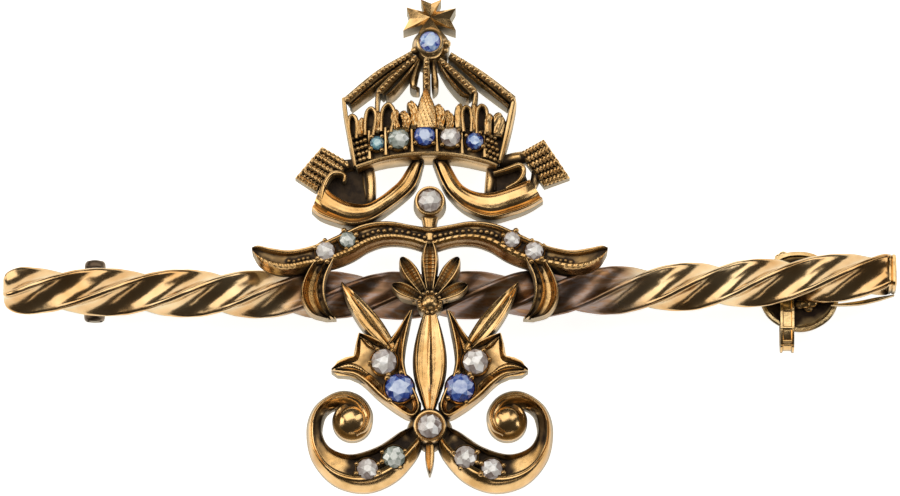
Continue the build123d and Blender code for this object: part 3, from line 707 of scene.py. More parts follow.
# %% Crown: orb and cross
orb_level = crown_front + 0.43
orb_shells = [
    turned(
        [(1.3, crown_back), (1.32, 1.6), (1.26, 2.3), (1.1, 2.85), (0.9, 3.15), (0.88, 3.2)],
        (orb_place[0] + 0.06, orb_place[1] - 0.08),
        48,
        lambda angle: -0.08 * np.cos(2 * angle) + 0.03 * np.sin(5 * angle),
    ),
    turned(
        [
            (0.9, 2.9), (0.86, 3.3), (0.87, orb_level - 0.12), (0.84, orb_level + 0.02),
            (0.77, orb_level + 0.06), (0.69, orb_level + 0.02), (0.66, orb_level - 0.12),
            (0.64, orb_level - 0.5)
        ],
        orb_place,
    ),
    grain(orb_place[0] + 1.06, orb_place[1] + 0.02, 2.9, 0.3, 0.9),
    grain(orb_place[0] + 0.98, orb_place[1] - 0.42, 2.9, 0.22, 0.9),
    grain(orb_place[0] - 0.98, orb_place[1] - 0.4, 2.85, 0.26, 0.9),
]
pour("crown_orb", orb_shells)

cross_place = crown_spots([(0.0, 0.888)])[0]
# Corners of the cross from its middle, in mm: across, up, and how far each lies below the middle.
cross_corners = [
    (1.68, 0.62, 0.16), (1.3, -0.07, 0.42), (1.68, -0.86, 0.16), (0.42, -0.42, 0.55),
    (0.75, -1.05, 0.2), (0.0, -0.8, 0.4), (-0.75, -1.05, 0.2), (-0.42, -0.42, 0.55),
    (-1.72, -0.86, 0.16), (-1.3, -0.05, 0.42), (-1.5, 0.68, 0.16), (-0.4, 0.42, 0.55),
    (-0.58, 1.2, 0.12), (0.1, 0.95, 0.4), (0.74, 1.2, 0.12), (0.4, 0.42, 0.55),
]


def star(place, corners, level, back):
    """A star of flat facets that fall from its middle to its corners."""
    rows = np.array(corners)
    outline = rows[:, :2] + place
    half = np.c_[rows[:, :2] * 0.5 + place, level - rows[:, 2] * 0.18]
    front = np.c_[outline, level - rows[:, 2] * 0.4]
    count = len(rows)
    points = np.vstack([np.c_[outline, np.full(count, back)], front, half, [[*place, level + 0.06]]])
    faces = [list(range(count))]
    for step in range(count):
        after = (step + 1) % count
        faces.append([step, after, count + after, count + step])
        faces.append([count + step, count + after, 2 * count + after, 2 * count + step])
        faces.append([2 * count + step, 2 * count + after, 3 * count])
    return points, faces


cross_level = 2.95
cross_back = crown_back + 0.12
pour("crown_cross", [star(cross_place, cross_corners, cross_level, cross_back)], sharp=16)

# %% [markdown]
# ## Ribbons and fringes
#
# A broad ribbon falls from under the crown on each side, turns over at its lowest place and
# shows its inside, and ends in a fringe of twisted cords.


# %% Ribbons
def ribbon_spots(table):
    return spots(table, ribbon_reach, arm_rise, crown_lift)


# Rows: upper edge, lower edge (shares of the ribbon zone) and a lift of the level in mm.
ribbon_tables = {
    "left": [
        (-0.13, 1.03, -0.04, 1.0, -0.35),
        (-0.215, 0.7, -0.076, 0.70, -0.2),
        (-0.285, 0.54, -0.124, 0.505, -0.1),
        (-0.36, 0.40, -0.245, 0.26, 0.0),
        (-0.46, 0.28, -0.41, 0.0, 0.1),
        (-0.59, 0.31, -0.555, -0.09, 0.15),
        (-0.70, 0.45, -0.69, -0.02, 0.12),
        (-0.755, 0.6, -0.79, 0.07, 0.05),
        (-0.77, 0.68, -0.85, 0.19, -0.1),
    ],
    "right": [
        (0.13, 1.03, 0.02, 1.0, -0.35),
        (0.205, 0.7, 0.08, 0.645, -0.2),
        (0.262, 0.56, 0.139, 0.42, -0.1),
        (0.353, 0.477, 0.258, 0.17, 0.0),
        (0.46, 0.477, 0.43, 0.02, 0.1),
        (0.592, 0.574, 0.60, 0.1, 0.12),
        (0.68, 0.66, 0.72, 0.21, 0.05),
        (0.715, 0.7, 0.815, 0.35, -0.1),
    ],
}
band_profile = profile(
    (-1, -0.45), (-0.95, -0.02), (-0.88, 0.06), (-0.8, -0.13), (-0.5, -0.05), (-0.1, 0.0), (0.25, -0.03),
    (0.45, -0.1), (0.56, -0.28), (0.64, -0.27), (0.78, 0.0), (0.88, 0.0), (1, -0.5)
)
curl_tables = {
    "left": [
        (-0.78, 0.36, 0.16), (-0.757, 0.6, 0.17), (-0.71, 0.77, 0.17), (-0.655, 0.80, 0.15),
        (-0.612, 0.75, 0.14), (-0.62, 0.65, 0.1)
    ],
    "right": [
        (0.46, 0.80, 0.12), (0.56, 0.87, 0.15), (0.64, 0.93, 0.17), (0.675, 0.85, 0.17), (0.64, 0.67, 0.15),
        (0.55, 0.54, 0.12)
    ],
}
inside_tables = {
    "left": [
        (-0.78, 0.45), (-0.74, 0.7), (-0.66, 0.8), (-0.5, 0.95),
        (-0.44, 1.02), (-0.43, 0.3), (-0.55, 0.22), (-0.7, 0.32)
    ],
    "right": [(0.43, 0.45), (0.44, 0.95), (0.55, 0.92), (0.64, 0.93), (0.69, 0.8), (0.7, 0.62), (0.6, 0.52)],
}
# Straps between the crown, the turn's inside and the fringe: across, up, half width in mm.
strap_tables = {
    "left": [
        [(-0.42, 0.3, 0.3), (-0.43, 0.8, 0.34), (-0.49, 1.2, 0.4)],
        [(-0.55, 0.98, 0.4), (-0.66, 0.95, 0.42), (-0.75, 0.9, 0.3)]
    ],
    "right": [
        [(0.42, 0.35, 0.3), (0.44, 0.8, 0.34), (0.47, 1.16, 0.4)],
        [(0.5, 1.02, 0.36), (0.6, 1.08, 0.42), (0.7, 1.12, 0.4)],
        [(0.72, 0.5, 0.2), (0.76, 0.75, 0.3), (0.77, 0.95, 0.3)],
    ],
}
wall_tables = {
    "left": [(-0.46, 1.0, 0.3), (-0.455, 0.7, 0.28), (-0.445, 0.42, 0.2)],
    "right": [(0.46, 0.98, 0.26), (0.455, 0.8, 0.24), (0.465, 0.55, 0.16)],
}
half_round = rounded(0.22)
strap_level = 2.0
band_level = 2.55
curl_level = 2.62
wall_level = 1.75
for side in ("left", "right"):
    shells = [
        rim(laid(ribbon_spots, table), strap_level, rounded(0.45), spray_back, 30, 11)
        for table in strap_tables[side]
    ]
    inside = ribbon_spots(inside_tables[side] + inside_tables[side][:1])
    shells += [
        relief(laid(ribbon_spots, ribbon_tables[side], 4), band_level, band_profile, spray_back, 120, 35),
        plate(smooth_rows(inside, 48)[:-1], loop_level),
        rim(laid(ribbon_spots, curl_tables[side]), curl_level, half_round, spray_back, 60, 11),
        rim(laid(ribbon_spots, wall_tables[side]), wall_level, half_round, spray_back, 30, 9),
    ]
    pour(f"ribbon_{side}", shells)

# %% [markdown]
# The fringe is a block of cords side by side. Each cord is a tube with a wound surface.

# %% Fringes
fringe_corners = {
    "left": [(-6.96, 9.45), (-8.68, 7.4), (-7.35, 6.5), (-4.95, 8.25)],
    "right": [(7.35, 9.95), (9.03, 7.4), (7.4, 6.8), (5.75, 9.0)],
}
cords = 6
cord_radius = 0.2
fringe_level = 1.95


def cord(start, end, radius, turns):
    """A wound cord from one place to another; the last column of each place is its level."""
    count, sides = 64, 14
    start, end = np.array(start), np.array(end)
    run = np.linspace(0, 1, count)
    middle = start * (1 - run[:, None]) + end * run[:, None]
    direction = (end - start) / np.linalg.norm(end - start)
    side = np.cross(direction, (0, 0, 1))
    turn = np.linspace(0, 2 * pi, sides, endpoint=False)
    swell = 1 + 0.24 * np.cos(2 * turn[None, :] + 2 * pi * turns * run[:, None])
    swell = swell * (0.35 + 0.65 * np.sqrt(np.clip(np.minimum(run, 1 - run) / 0.05, 0, 1)))[:, None]
    beside, above = np.cos(turn)[None, :, None], np.sin(turn)[None, :, None]
    ring = side[None, None, :] * beside + np.array([0, 0, 1.0]) * above
    return tube_shell(middle[:, None, :] + ring * (radius * swell)[..., None])


for side, corners in fringe_corners.items():
    top_out, low_out, low_in, top_in = [np.array(corner) for corner in corners]
    edges = (top_in, top_out), (low_in, low_out)
    shells = [plate([top_out, low_out, low_in, top_in], fringe_level - 0.2)]
    for row in range(cords):
        share = (row + 0.5) / cords
        start = edges[0][0] * (1 - share) + edges[1][0] * share
        end = edges[0][1] * (1 - share) + edges[1][1] * share
        sag = 0.12 * sin(pi * share)
        twist = 7 + hand.uniform(-0.6, 0.6)
        start, end = (*start, fringe_level + sag - 0.05), (*end, fringe_level + sag - 0.2)
        shells.append(cord(start, end, cord_radius, twist))
    pour(f"fringe_{side}", shells)

# %% [markdown]
# ## The leafy spray
#
# Two arms leave the middle, rise and end in a leaf that curls up and a leaf that hangs over
# the bar. Between their rims lies a dark, sunken bed with small beads.

# %% Arms and hanging leaves
# Rows: upper edge, lower edge (shares of the arm zone), lift in mm.
arm_table = [
    (0.0, 0.905, 0.0, 0.56, -0.1),
    (0.101, 0.941, 0.124, 0.66, 0.0),
    (0.236, 1.0, 0.236, 0.675, 0.0),
    (0.371, 0.963, 0.335, 0.60, 0.0),
    (0.50, 0.82, 0.44, 0.44, 0.0),
    (0.60, 0.70, 0.56, 0.33, 0.0),
    (0.70, 0.615, 0.68, 0.29, -0.05),
    (0.80, 0.58, 0.79, 0.235, -0.1),
    (0.90, 0.615, 0.88, 0.265, -0.1),
    (0.965, 0.645, 0.955, 0.38, -0.1),
    (1.0, 0.61, 0.995, 0.54, -0.15),
]
arm_profile = profile(
    (-1, -0.5), (-0.93, -0.05), (-0.8, 0.05), (-0.62, -0.04), (-0.5, -0.38), (0.08, -0.38), (0.18, -0.1),
    (0.3, 0.04), (0.48, 0.04), (0.62, -0.15), (0.84, -0.85), (1, -1.2)
)
# Rows of beads in an arm: line (shares of the arm zone), count, level, shake, most extra radius.
bead_rows = [
    ([(0.03, 0.77), (0.12, 0.83), (0.22, 0.865), (0.32, 0.83), (0.4, 0.755)], 13, 2.16, 0.05, 0.04),
    ([(0.66, 0.45), (0.72, 0.43), (0.79, 0.41)], 6, 2.1, 0.06, 0.05),
]
bead_radius = 0.15
# The hanging leaf, in the same columns as the arm.
leaf_table = [
    (0.63, 0.50, 0.53, 0.47, 0.0),
    (0.69, 0.25, 0.575, 0.22, 0.0),
    (0.722, 0.02, 0.588, 0.02, -0.03),
    (0.715, -0.18, 0.578, -0.17, -0.1),
    (0.665, -0.36, 0.552, -0.33, -0.2),
    (0.58, -0.43, 0.523, -0.42, -0.35),
]
leaf_profile = profile(
    (-1, -0.55), (-0.93, -0.1), (-0.84, 0.03), (-0.76, -0.12), (-0.66, 0.03),
    (-0.55, -0.08), (-0.38, -0.42), (0.05, -0.46), (0.22, -0.05), (0.36, 0.03),
    (0.5, -0.3), (0.68, -0.35), (0.84, 0.0), (0.92, 0.0), (1, -0.5)
)
for side, label in ((-1, "left"), (1, "right")):
    rows = on_side(laid(arm_spots, arm_table, 4), side)
    shells = [relief(rows, rim_level, grooved(arm_profile, 0.06, 30, 1.4, 0.16, 0.66), spray_back, 150, 33)]
    for line, count, level, shake, more in bead_rows:
        for across, up in on_side(smooth_rows(arm_spots(line), count), side):
            up += hand.uniform(-shake, shake)
            shells.append(grain(across, up, level, bead_radius + hand.uniform(-0.03, more), 1.1))
    pour(f"spray_arm_{label}", shells)

    rows = on_side(laid(arm_spots, leaf_table, 4), side)
    shells = [relief(rows, rim_level - 0.02, leaf_profile, spray_back, 110, 37)]
    for across, up, radius in (
        (0.612, 0.27, 0.24), (0.625, 0.12, 0.24), (0.633, -0.03, 0.2), (0.625, -0.15, 0.16)
    ):
        place = on_side(arm_spots([(across, up)]), side)[0]
        shells.append(grain(place[0], place[1], 2.12, radius, 1.2))
    pour(f"spray_leaf_{label}", shells)

# %% [markdown]
# In the middle a palmette of five lobes lies over the bar, with a beaded boss at its root. A
# lance-shaped leaf stands on each side between the bloom and the bar.

# %% Palmette and lance leaves
palmette_root = np.array([0.0, -0.9])
palmette_length = 4.1
lobe_half_width = 0.56
lobe_table = [(26, 0.66), (154, 0.66), (58, 0.86), (122, 0.86), (90, 1.0)]
lobe_profile = profile(
    (-1, -0.5), (-0.85, -0.02), (-0.7, 0.06), (-0.5, -0.2), (-0.18, -0.22), (0, 0.02), (0.18, -0.22),
    (0.5, -0.2), (0.7, 0.06), (0.85, -0.02), (1, -0.5)
)
lobe_shape = grooved(with_ends(lobe_profile, 0.2, 0.1, 0.12), 0.05, 17, 0.0, -0.68, 0.68)
palmette_level = 2.48
palmette_shells = []
for angle, length in lobe_table:
    reach = palmette_length * length
    direction = np.array([cos(radians(angle)), sin(radians(angle))])
    half = lobe_half_width * (0.6 + 0.4 * length)
    rows = []
    for along, width in (
        (0.1, 0.3), (0.3, 0.62), (0.5, 0.9), (0.68, 1.02), (0.83, 0.86), (0.94, 0.5), (1.0, 0.1)
    ):
        place = palmette_root + direction * reach * along
        rows.append((place[0], place[1], half * width, 0.12 * sin(pi * along)))
    palmette_shells.append(rim(rows, palmette_level, lobe_shape, spray_back, 90, 27))
palmette_shells.append(
    turned(
        [
            (0.82, spray_back), (0.84, 2.2), (0.76, 2.45), (0.6, 2.5), (0.55, 2.4), (0.5, 2.42),
            (0.36, 2.62), (0.18, 2.72), (0.02, 2.74)
        ],
        palmette_root
    )
)
for step in range(14):
    angle = 2 * pi * step / 14
    palmette_shells.append(grain(0.68 * cos(angle), palmette_root[1] + 0.68 * sin(angle), 2.46, 0.13, 0.9))
pour("spray_palmette", palmette_shells)

lance_table = [(0.36, 0.46), (0.45, 0.37), (0.60, 0.235), (0.76, 0.085), (0.889, -0.054)]
lance_halves = [0.22, 0.5, 0.66, 0.46, 0.05]
lance_profile = profile(
    (-1, -0.6), (-0.9, -0.1), (-0.8, -0.02), (-0.45, -0.06), (-0.14, -0.05), (-0.05, 0.05), (0.05, 0.05),
    (0.14, -0.07), (0.45, -0.12), (0.8, -0.06), (0.9, -0.14), (1, -0.6)
)
lance_shape = grooved(with_ends(lance_profile, 0.25, 0.02, 0.2), 0.012, 2.0, 3.2, -0.8, 0.8)
leaf_level = 2.42
for side, label in ((-1, "left"), (1, "right")):
    spine = np.c_[on_side(bloom_spots(lance_table), side), lance_halves]
    pour(f"spray_lance_{label}", [rim(spine, leaf_level, lance_shape, spray_back, 100, 35)])

# %% [markdown]
# ## The bloom
#
# A middle petal and two cups. Each cup is a dark hollow with a thin bright rim, pointed sepals
# and two stones.

# %% Bloom
petal_rows = bloom_spots(
    [
        (0.0, 0.06, 0.0, 0.06), (-0.1, 0.24, 0.1, 0.24), (-0.165, 0.44, 0.165, 0.44),
        (-0.165, 0.6, 0.165, 0.6), (-0.1, 0.76, 0.1, 0.76), (-0.02, 0.92, 0.02, 0.92)
    ]
)
petal_profile = profile(
    (-1, -0.6), (-0.9, -0.08), (-0.8, 0.02), (-0.66, -0.05), (-0.4, -0.09), (-0.12, -0.07), (-0.05, 0.05),
    (0.05, 0.05), (0.12, -0.07), (0.4, -0.09), (0.66, -0.05), (0.8, 0.02), (0.9, -0.08), (1, -0.6)
)
petal_shape = grooved(petal_profile, 0.014, 1.5, 4.0, -0.74, 0.74)
pour("spray_petal", [relief(petal_rows, leaf_level, petal_shape, spray_back, 110, 41)])

cup_outline_table = [
    (0.101, 0.94), (0.23, 0.905), (0.364, 0.85), (0.49, 0.775), (0.606, 0.705), (0.72, 0.655),
    (0.808, 0.628), (0.929, 0.62), (0.99, 0.588), (0.929, 0.518), (0.85, 0.49), (0.768, 0.478),
    (0.747, 0.396), (0.717, 0.315), (0.65, 0.325), (0.586, 0.346), (0.444, 0.389), (0.37, 0.33),
    (0.303, 0.27), (0.23, 0.19), (0.165, 0.14), (0.205, 0.25), (0.235, 0.37), (0.25, 0.45),
    (0.253, 0.535), (0.235, 0.62), (0.192, 0.695), (0.14, 0.765), (0.085, 0.825),
]
# Rims of the right cup: across, up (shares of the bloom), half width in mm, lift in mm.
cup_rims = [
    [
        (0.19, 0.155, 0.12, 0.0), (0.255, 0.28, 0.32, 0.0), (0.295, 0.41, 0.36, 0.0),
        (0.30, 0.53, 0.32, 0.0), (0.258, 0.65, 0.3, 0.02), (0.18, 0.75, 0.3, 0.05),
        (0.135, 0.85, 0.28, 0.05), (0.185, 0.90, 0.28, 0.0), (0.31, 0.845, 0.36, 0.0),
        (0.47, 0.75, 0.42, 0.0), (0.61, 0.655, 0.42, 0.0), (0.74, 0.60, 0.34, 0.0),
        (0.87, 0.59, 0.22, -0.05), (0.985, 0.587, 0.05, -0.15),
    ],
    [(0.43, 0.415, 0.05, -0.1), (0.38, 0.385, 0.2, 0.0), (0.29, 0.29, 0.22, 0.0), (0.19, 0.165, 0.1, 0.0)],
    [(0.71, 0.325, 0.06, 0.0), (0.61, 0.36, 0.2, 0.05), (0.50, 0.40, 0.18, 0.05), (0.43, 0.43, 0.05, -0.05)],
    [
        (0.985, 0.58, 0.05, -0.15), (0.9, 0.54, 0.18, -0.05), (0.81, 0.515, 0.2, 0.0),
        (0.74, 0.49, 0.2, 0.0), (0.72, 0.4, 0.18, 0.0), (0.705, 0.325, 0.06, 0.0)
    ],
]
# Ribs of the sepals, in the same columns.
cup_ribs = [
    [
        (0.62, 0.62, 0.1, -0.1), (0.72, 0.575, 0.22, -0.02),
        (0.82, 0.56, 0.24, -0.02), (0.95, 0.575, 0.05, -0.2)
    ],
    [(0.56, 0.43, 0.1, -0.1), (0.62, 0.395, 0.18, -0.02), (0.69, 0.35, 0.06, -0.1)],
    [(0.3, 0.34, 0.06, -0.15), (0.35, 0.43, 0.16, -0.05), (0.36, 0.5, 0.05, -0.2)],
]
# The left of a rim's path is the inside of the cup.
rim_profile = profile(
    (-1, -0.5), (-0.6, -0.36), (0.0, -0.2), (0.3, 0.02),
    (0.5, 0.05), (0.66, -0.02), (0.85, -0.35), (1, -0.8)
)
for side, label in ((-1, "left"), (1, "right")):
    shells = [plate(on_side(bloom_spots(cup_outline_table), side), bed_level + 0.12)]
    for rows in cup_rims:
        borders = on_side(ribbon_of(laid(bloom_spots, rows), 16 * len(rows)), side)
        shells.append(relief(borders, rim_level, rim_profile, spray_back, 16 * len(rows), 17))
    for rows in cup_ribs:
        places = on_side(bloom_spots([row[:2] for row in rows]), side)
        spine = np.c_[places, [row[2:] for row in rows]]
        shells.append(rim(spine, rim_level - 0.05, grooved(rounded(0.3), 0.03, 12, 1.0), spray_back, 50, 13))
    pour(f"spray_cup_{label}", shells)

# %% [markdown]
# ## The feet
#
# Each foot leaves the lower collet, sweeps out and rolls in to a polished ball. Its outer side
# is broad and round, a thin bright rim follows, and the stones lie in a bed inside it.

# %% Feet
# Rows: outer edge, inner edge, in shares of the foot zone.
foot_table = [
    (0.03, 0.12, 0.09, -0.06),
    (0.113, 0.469, 0.227, 0.03),
    (0.283, 0.813, 0.421, 0.27),
    (0.518, 0.975, 0.632, 0.39),
    (0.769, 0.859, 0.794, 0.297),
    (0.947, 0.484, 0.862, 0.09),
    (0.995, 0.031, 0.85, -0.141),
    (0.939, -0.328, 0.815, -0.25),
    (0.798, -0.547, 0.755, -0.31),
    (0.664, -0.595, 0.665, -0.31),
    (0.535, -0.485, 0.59, -0.22),
    (0.458, -0.234, 0.57, -0.12),
    (0.488, 0.03, 0.6, -0.02),
    (0.58, 0.15, 0.63, 0.02),
]
bed_depth = 0.7


def ridge(share, place, width=0.07):
    """A narrow ridge across a strip, 1 at its place."""
    return np.exp(-(((share - place) / width) ** 2))


def foot_shape(run, share):
    """A round outer side, a bright rim, and a bed that narrows to a groove."""
    outside = -1.0 * np.clip((-0.36 - share) / 0.64, 0, 1) ** 2.0 - 0.07 * ridge(share, -0.38)
    bed = soft_step(0.0, 0.07, run) * (1 - soft_step(0.42, 0.62, run))
    bed_low = -0.22 + 0.1 * soft_step(0.35, 0.6, run)
    in_bed = soft_step(bed_low, bed_low + 0.12, share) * (1 - soft_step(0.66, 0.8, share))
    inner_wall = soft_step(0.82, 1.0, share) * 0.9
    slope = soft_step(-0.2, 0.9, share) * (0.8 - 0.5 * soft_step(0.7, 0.8, run))
    crest = 0.12 * ridge(share, -0.27) + 0.1 * ridge(share, 0.8) * bed
    wall = inner_wall * np.minimum(bed * 2, 1)
    rolled = slope * (1 - np.minimum(bed * 1.6, 1))
    return outside - in_bed * bed_depth * bed - wall - rolled + crest


volute_centre = foot_spots([(0.628, -0.12)])[0]
volute_radius = 1.24


def volute(side):
    """A smooth ball that the strip winds into, with a notch where the two meet."""
    rings, around = 24, 64
    angle = np.linspace(0, 2 * pi, around, endpoint=False)
    share = np.sin(np.linspace(pi / 2, 0.03, rings))
    wind = (angle / (2 * pi))[None, :]
    reach = volute_radius * (0.98 + 0.1 * wind)
    start = radians(140)
    across = volute_centre[0] + share[:, None] * reach * np.cos(start - angle)[None, :]
    up = volute_centre[1] + share[:, None] * reach * np.sin(start - angle)[None, :]
    dome = np.sqrt(1 - share[:, None] ** 2 * 0.985)
    cleft = 0.34 * np.exp(-(((share[:, None] - 0.86 + 0.3 * wind) / 0.1) ** 2))
    notch = cleft * soft_step(0.0, 0.08, wind) * (1 - soft_step(0.2, 0.5, wind))
    level = 1.45 + 1.25 * dome - notch
    loops = np.dstack([side * across, up, level])
    base = loops[:1].copy()
    base[..., 2] = spray_back
    return tube_shell(np.concatenate([base, loops], axis=0))


for side, label in ((-1, "left"), (1, "right")):
    rows = on_side(foot_spots(foot_table), side)
    pour(f"spray_foot_{label}", [relief(rows, rim_level, foot_shape, spray_back, 190, 41), volute(side)])

# %% [markdown]
# ## Collets, hub and post
#
# The two collets are plain tubes round their stones. The upper one stands on a short post, and
# a drop hangs below the lower one.


# %% Collets, hub and post
def collet_rows(outer, inner):
    return [
        (outer + 0.08, spray_back), (outer + 0.05, 2.0), (outer, 2.3), (outer - 0.01, collet_level - 0.1),
        (outer - 0.06, collet_level + 0.03), (outer - 0.14, collet_level + 0.04),
        (inner, collet_level - 0.08), (inner - 0.02, collet_level - 0.5),
    ]


collet_shells = [turned(collet_rows(0.98, 0.76), upper_collet), turned(collet_rows(1.06, 0.8), lower_collet)]
collet_shells.append(
    turned(
        [(1.35, spray_back), (1.36, 1.5), (1.25, 1.95), (1.05, 2.1), (0.9, 2.12)], lower_collet, 48,
        lambda angle: 0.07 * np.cos(4 * angle)
    )
)
collet_shells.append(
    rim(
        [(0.0, 3.2, 0.5), (0.0, 3.9, 0.42), (0.0, 4.6, 0.5), (0.0, 5.2, 0.7)], 2.2, rounded(0.5),
        spray_back, 40, 15
    )
)
drop_rows = foot_spots([(0.0, 0.1), (0.0, 0.35), (0.0, 0.55), (0.0, 0.72)])
collet_shells.append(rim(np.c_[drop_rows, [0.2, 0.3, 0.24, 0.05]], 2.3, lance_profile, spray_back, 40, 15))
pour("collets", collet_shells)

# %% [markdown]
# Small grains of metal are pushed over the girdle of each stone, and each stone sits in a low
# collar. The angles of the grains are a little uneven, as they are when made by hand.

# %% Grains that hold the stones
# Stone, then the angles of its grains in degrees, for the right side; the left is mirrored.
grain_rows = [
    ("arm_diamond_inner", (150, 70, 205, 275)),
    ("arm_diamond_outer", (95, 20, 260, 320)),
    ("bloom_diamond", (125, 65, 0, 250)),
    ("bloom_sapphire", (35, 100, 215, 300)),
    ("foot_diamond_inner", (330, 15, 160, 240)),
    ("foot_diamond_outer", (340, 20, 150, 200)),
]


def held(name, turns, side, shake, sink, radius, more, rise):
    """Grains round a stone at angles in degrees, each off by up to the shake."""
    place, level, width = stones[name]
    reach = width / 2 + 0.1
    made = []
    for turn in turns:
        angle = radians(turn + hand.uniform(-shake, shake))
        across, up = place[0] + side * reach * cos(angle), place[1] + reach * sin(angle)
        made.append(grain(across, up, level - sink, radius + hand.uniform(-0.02, more), rise))
    return made


grain_shells = []
for side, label in ((-1, "left"), (1, "right")):
    for name, turns in grain_rows:
        grain_shells += held(f"{name}_{label}", turns, side, 10, 0.04, 0.17, 0.03, 1.05)
for name, *_ in crown_stone_rows:
    grain_shells += held(name, (45, 135, 225, 315), 1, 14, 0.05, 0.16, 0.02, 1.0)
# Each stone sits in a low collar sunk in the metal.
for name, (place, level, width) in stones.items():
    if name.startswith(("orb", "collet")):
        continue
    inner = width / 2 + stone_gap
    back = crown_back if name.startswith("band") else spray_back
    rows = [
        (inner + 0.1, back), (inner + 0.09, level - 0.16), (inner + 0.03, level - 0.08),
        (inner, level - 0.14), (inner - 0.05, level - 0.45)
    ]
    grain_shells.append(turned(rows, place, 36))
pour("stone_grains", grain_shells)

# %% [markdown]
# ## Fittings behind the bar
#
# The hinge is a barrel across the bar, and its rounded ends show above and below it. A yoke
# joins them to the bar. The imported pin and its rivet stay.

# %% Hinge barrel
hinge_depth = 2.15
hinge_place = np.array([-21.7, float(bar_rise(np.array(-21.7))) + 0.45, -hinge_depth])
knuckle_start = 0.51
cheek_length = 0.85
yoke_half_width = 0.5
yoke_root_depth = 0.46
yoke_web_depth = 1.15
# Half of the barrel: place along it and radius. Its end is sunk round the rivet's head.
knuckle_rows = [
    (0.51, 0.5), (0.51, 0.59), (0.55, 0.62), (1.6, 0.62), (1.8, 0.6), (1.9, 0.56), (1.97, 0.5),
    (1.96, 0.45), (1.78, 0.44)
]
knuckle_spread = 1.13


def knuckle(side, around=40):
    """One rounded, slightly lumpy end of the barrel, above the bar (side 1) or below it (-1)."""
    angle = np.linspace(0, 2 * pi, around, endpoint=False)
    loops = []
    for along, radius in knuckle_rows:
        lumpy = radius * (1 - 0.05 * (0.5 + 0.5 * np.sin(3 * angle + 1.3 * along + side)))
        loops.append(
            np.c_[
                hinge_place[0] + knuckle_spread * lumpy * np.cos(angle),
                np.full(around, hinge_place[1] + side * along),
                hinge_place[2] + lumpy * np.sin(angle),
            ]
        )
    return tube_shell(np.array(loops))


def yoke_plate(low, high, front, back):
    """A part of the yoke between two heights up the brooch and two depths."""
    left, right = hinge_place[0] - yoke_half_width, hinge_place[0] + yoke_half_width
    low, high = hinge_place[1] + low, hinge_place[1] + high
    return plate([(left, low), (right, low), (right, high), (left, high)], -front, -back)


cheek_end = knuckle_start + cheek_length
hinge_shells = [
    knuckle(1),
    knuckle(-1),
    yoke_plate(knuckle_start, cheek_end, yoke_root_depth, hinge_depth),
    yoke_plate(-cheek_end, -knuckle_start, yoke_root_depth, hinge_depth),
    yoke_plate(-knuckle_start, knuckle_start, yoke_root_depth, yoke_web_depth),
]
hinge = pour("hinge_barrel", hinge_shells)

# %% [markdown]
# The catch is a dished round plate with a raised lip, and a bent strip with cross bars is its
# hook. A lump of solder holds the two together.

# %% Catch: dished plate and hook
catch_place = np.array([23.85, 0.51])
dish_radius = 2.7
dish_rise = 0.6
dish_curve = (dish_radius**2 + dish_rise**2) / (2 * dish_rise)
dish_depth = 1.72


def dish_rows():
    """Radius and level over the dish: hollow front, rounded rim, back."""
    rows = []
    for share in np.linspace(0.02, 0.86, 12):
        out = dish_radius * share
        rows.append((out, -dish_depth + dish_curve - sqrt(dish_curve**2 - out**2)))
    edge = rows[-1][1]
    rows += [
        (dish_radius * 0.875, edge + 0.1), (dish_radius * 0.9, edge + 0.17),
        (dish_radius * 0.96, edge + 0.16), (dish_radius * 0.995, edge + 0.07),
        (dish_radius, edge - 0.06), (dish_radius * 0.97, edge - 0.22),
    ]
    for share in np.linspace(0.9, 0.02, 8):
        out = dish_radius * share
        rows.append((out, -dish_depth - 0.35 + dish_curve - sqrt(dish_curve**2 - out**2)))
    return rows


dish_shell = turned(
    dish_rows(), catch_place, 96,
    lambda angle: -0.03 * soft_step(0.3, 1, np.cos(angle - 3.9)) + 0.007 * np.sin(7 * angle) - 0.007
)
hook_place = 23.1
hook_half = 0.44
# The middle line of the hook's strip: up, level.
hook_line = np.array(
    [
        (0.0, -1.12), (-1.2, -1.12), (-2.35, -1.16), (-2.95, -1.42), (-3.17, -2.15), (-2.95, -2.76),
        (-2.35, -2.95), (-1.0, -2.95), (0.35, -2.95)
    ]
)
hook_path = smooth_rows(hook_line, 70)
hook_turn = np.gradient(hook_path, axis=0)
hook_turn /= np.linalg.norm(hook_turn, axis=1)[:, None]
hook_side = np.stack([-hook_turn[:, 1], hook_turn[:, 0]], axis=1) * 0.165
hook_rows = []
for across, outward in ((-1, -1), (-1, 1), (-0.7, 1), (-0.55, 0.2), (0.55, 0.2), (0.7, 1), (1, 1), (1, -1)):
    plan = hook_path - hook_side * outward
    hook_rows.append(np.c_[np.full(len(plan), hook_place + hook_half * across), plan])
hook_shell = tube_shell(np.stack(hook_rows, axis=1))
cross_bars = [
    rim(
        [(hook_place - hook_half, up, half), (hook_place + hook_half, up, half)], level, rounded(0.06),
        level - 0.17, 12, 9
    )
    for up, half, level in ((-0.75, 0.09, -0.94), (-1.9, 0.11, -0.95), (-2.75, 0.08, -1.12))
]
lump = [
    grain(24.3, -0.2, -1.4, 0.42, 0.7), grain(24.75, -0.12, -1.42, 0.4, 0.6),
    grain(23.9, -0.3, -1.42, 0.32, 0.6), grain(24.5, -0.5, -1.5, 0.3, 0.5),
    grain(22.9, 2.95, -1.7, 0.34, 0.5), grain(22.6, 2.85, -1.75, 0.26, 0.5),
]
catch_dish = pour("catch_dish", [dish_shell])
catch_hook = pour("catch_hook", [hook_shell, *cross_bars, *lump], sharp=30)
for piece in (catch_dish, catch_hook, hinge):
    print(piece.name, [round(value * 1000, 2) for value in piece.dimensions])
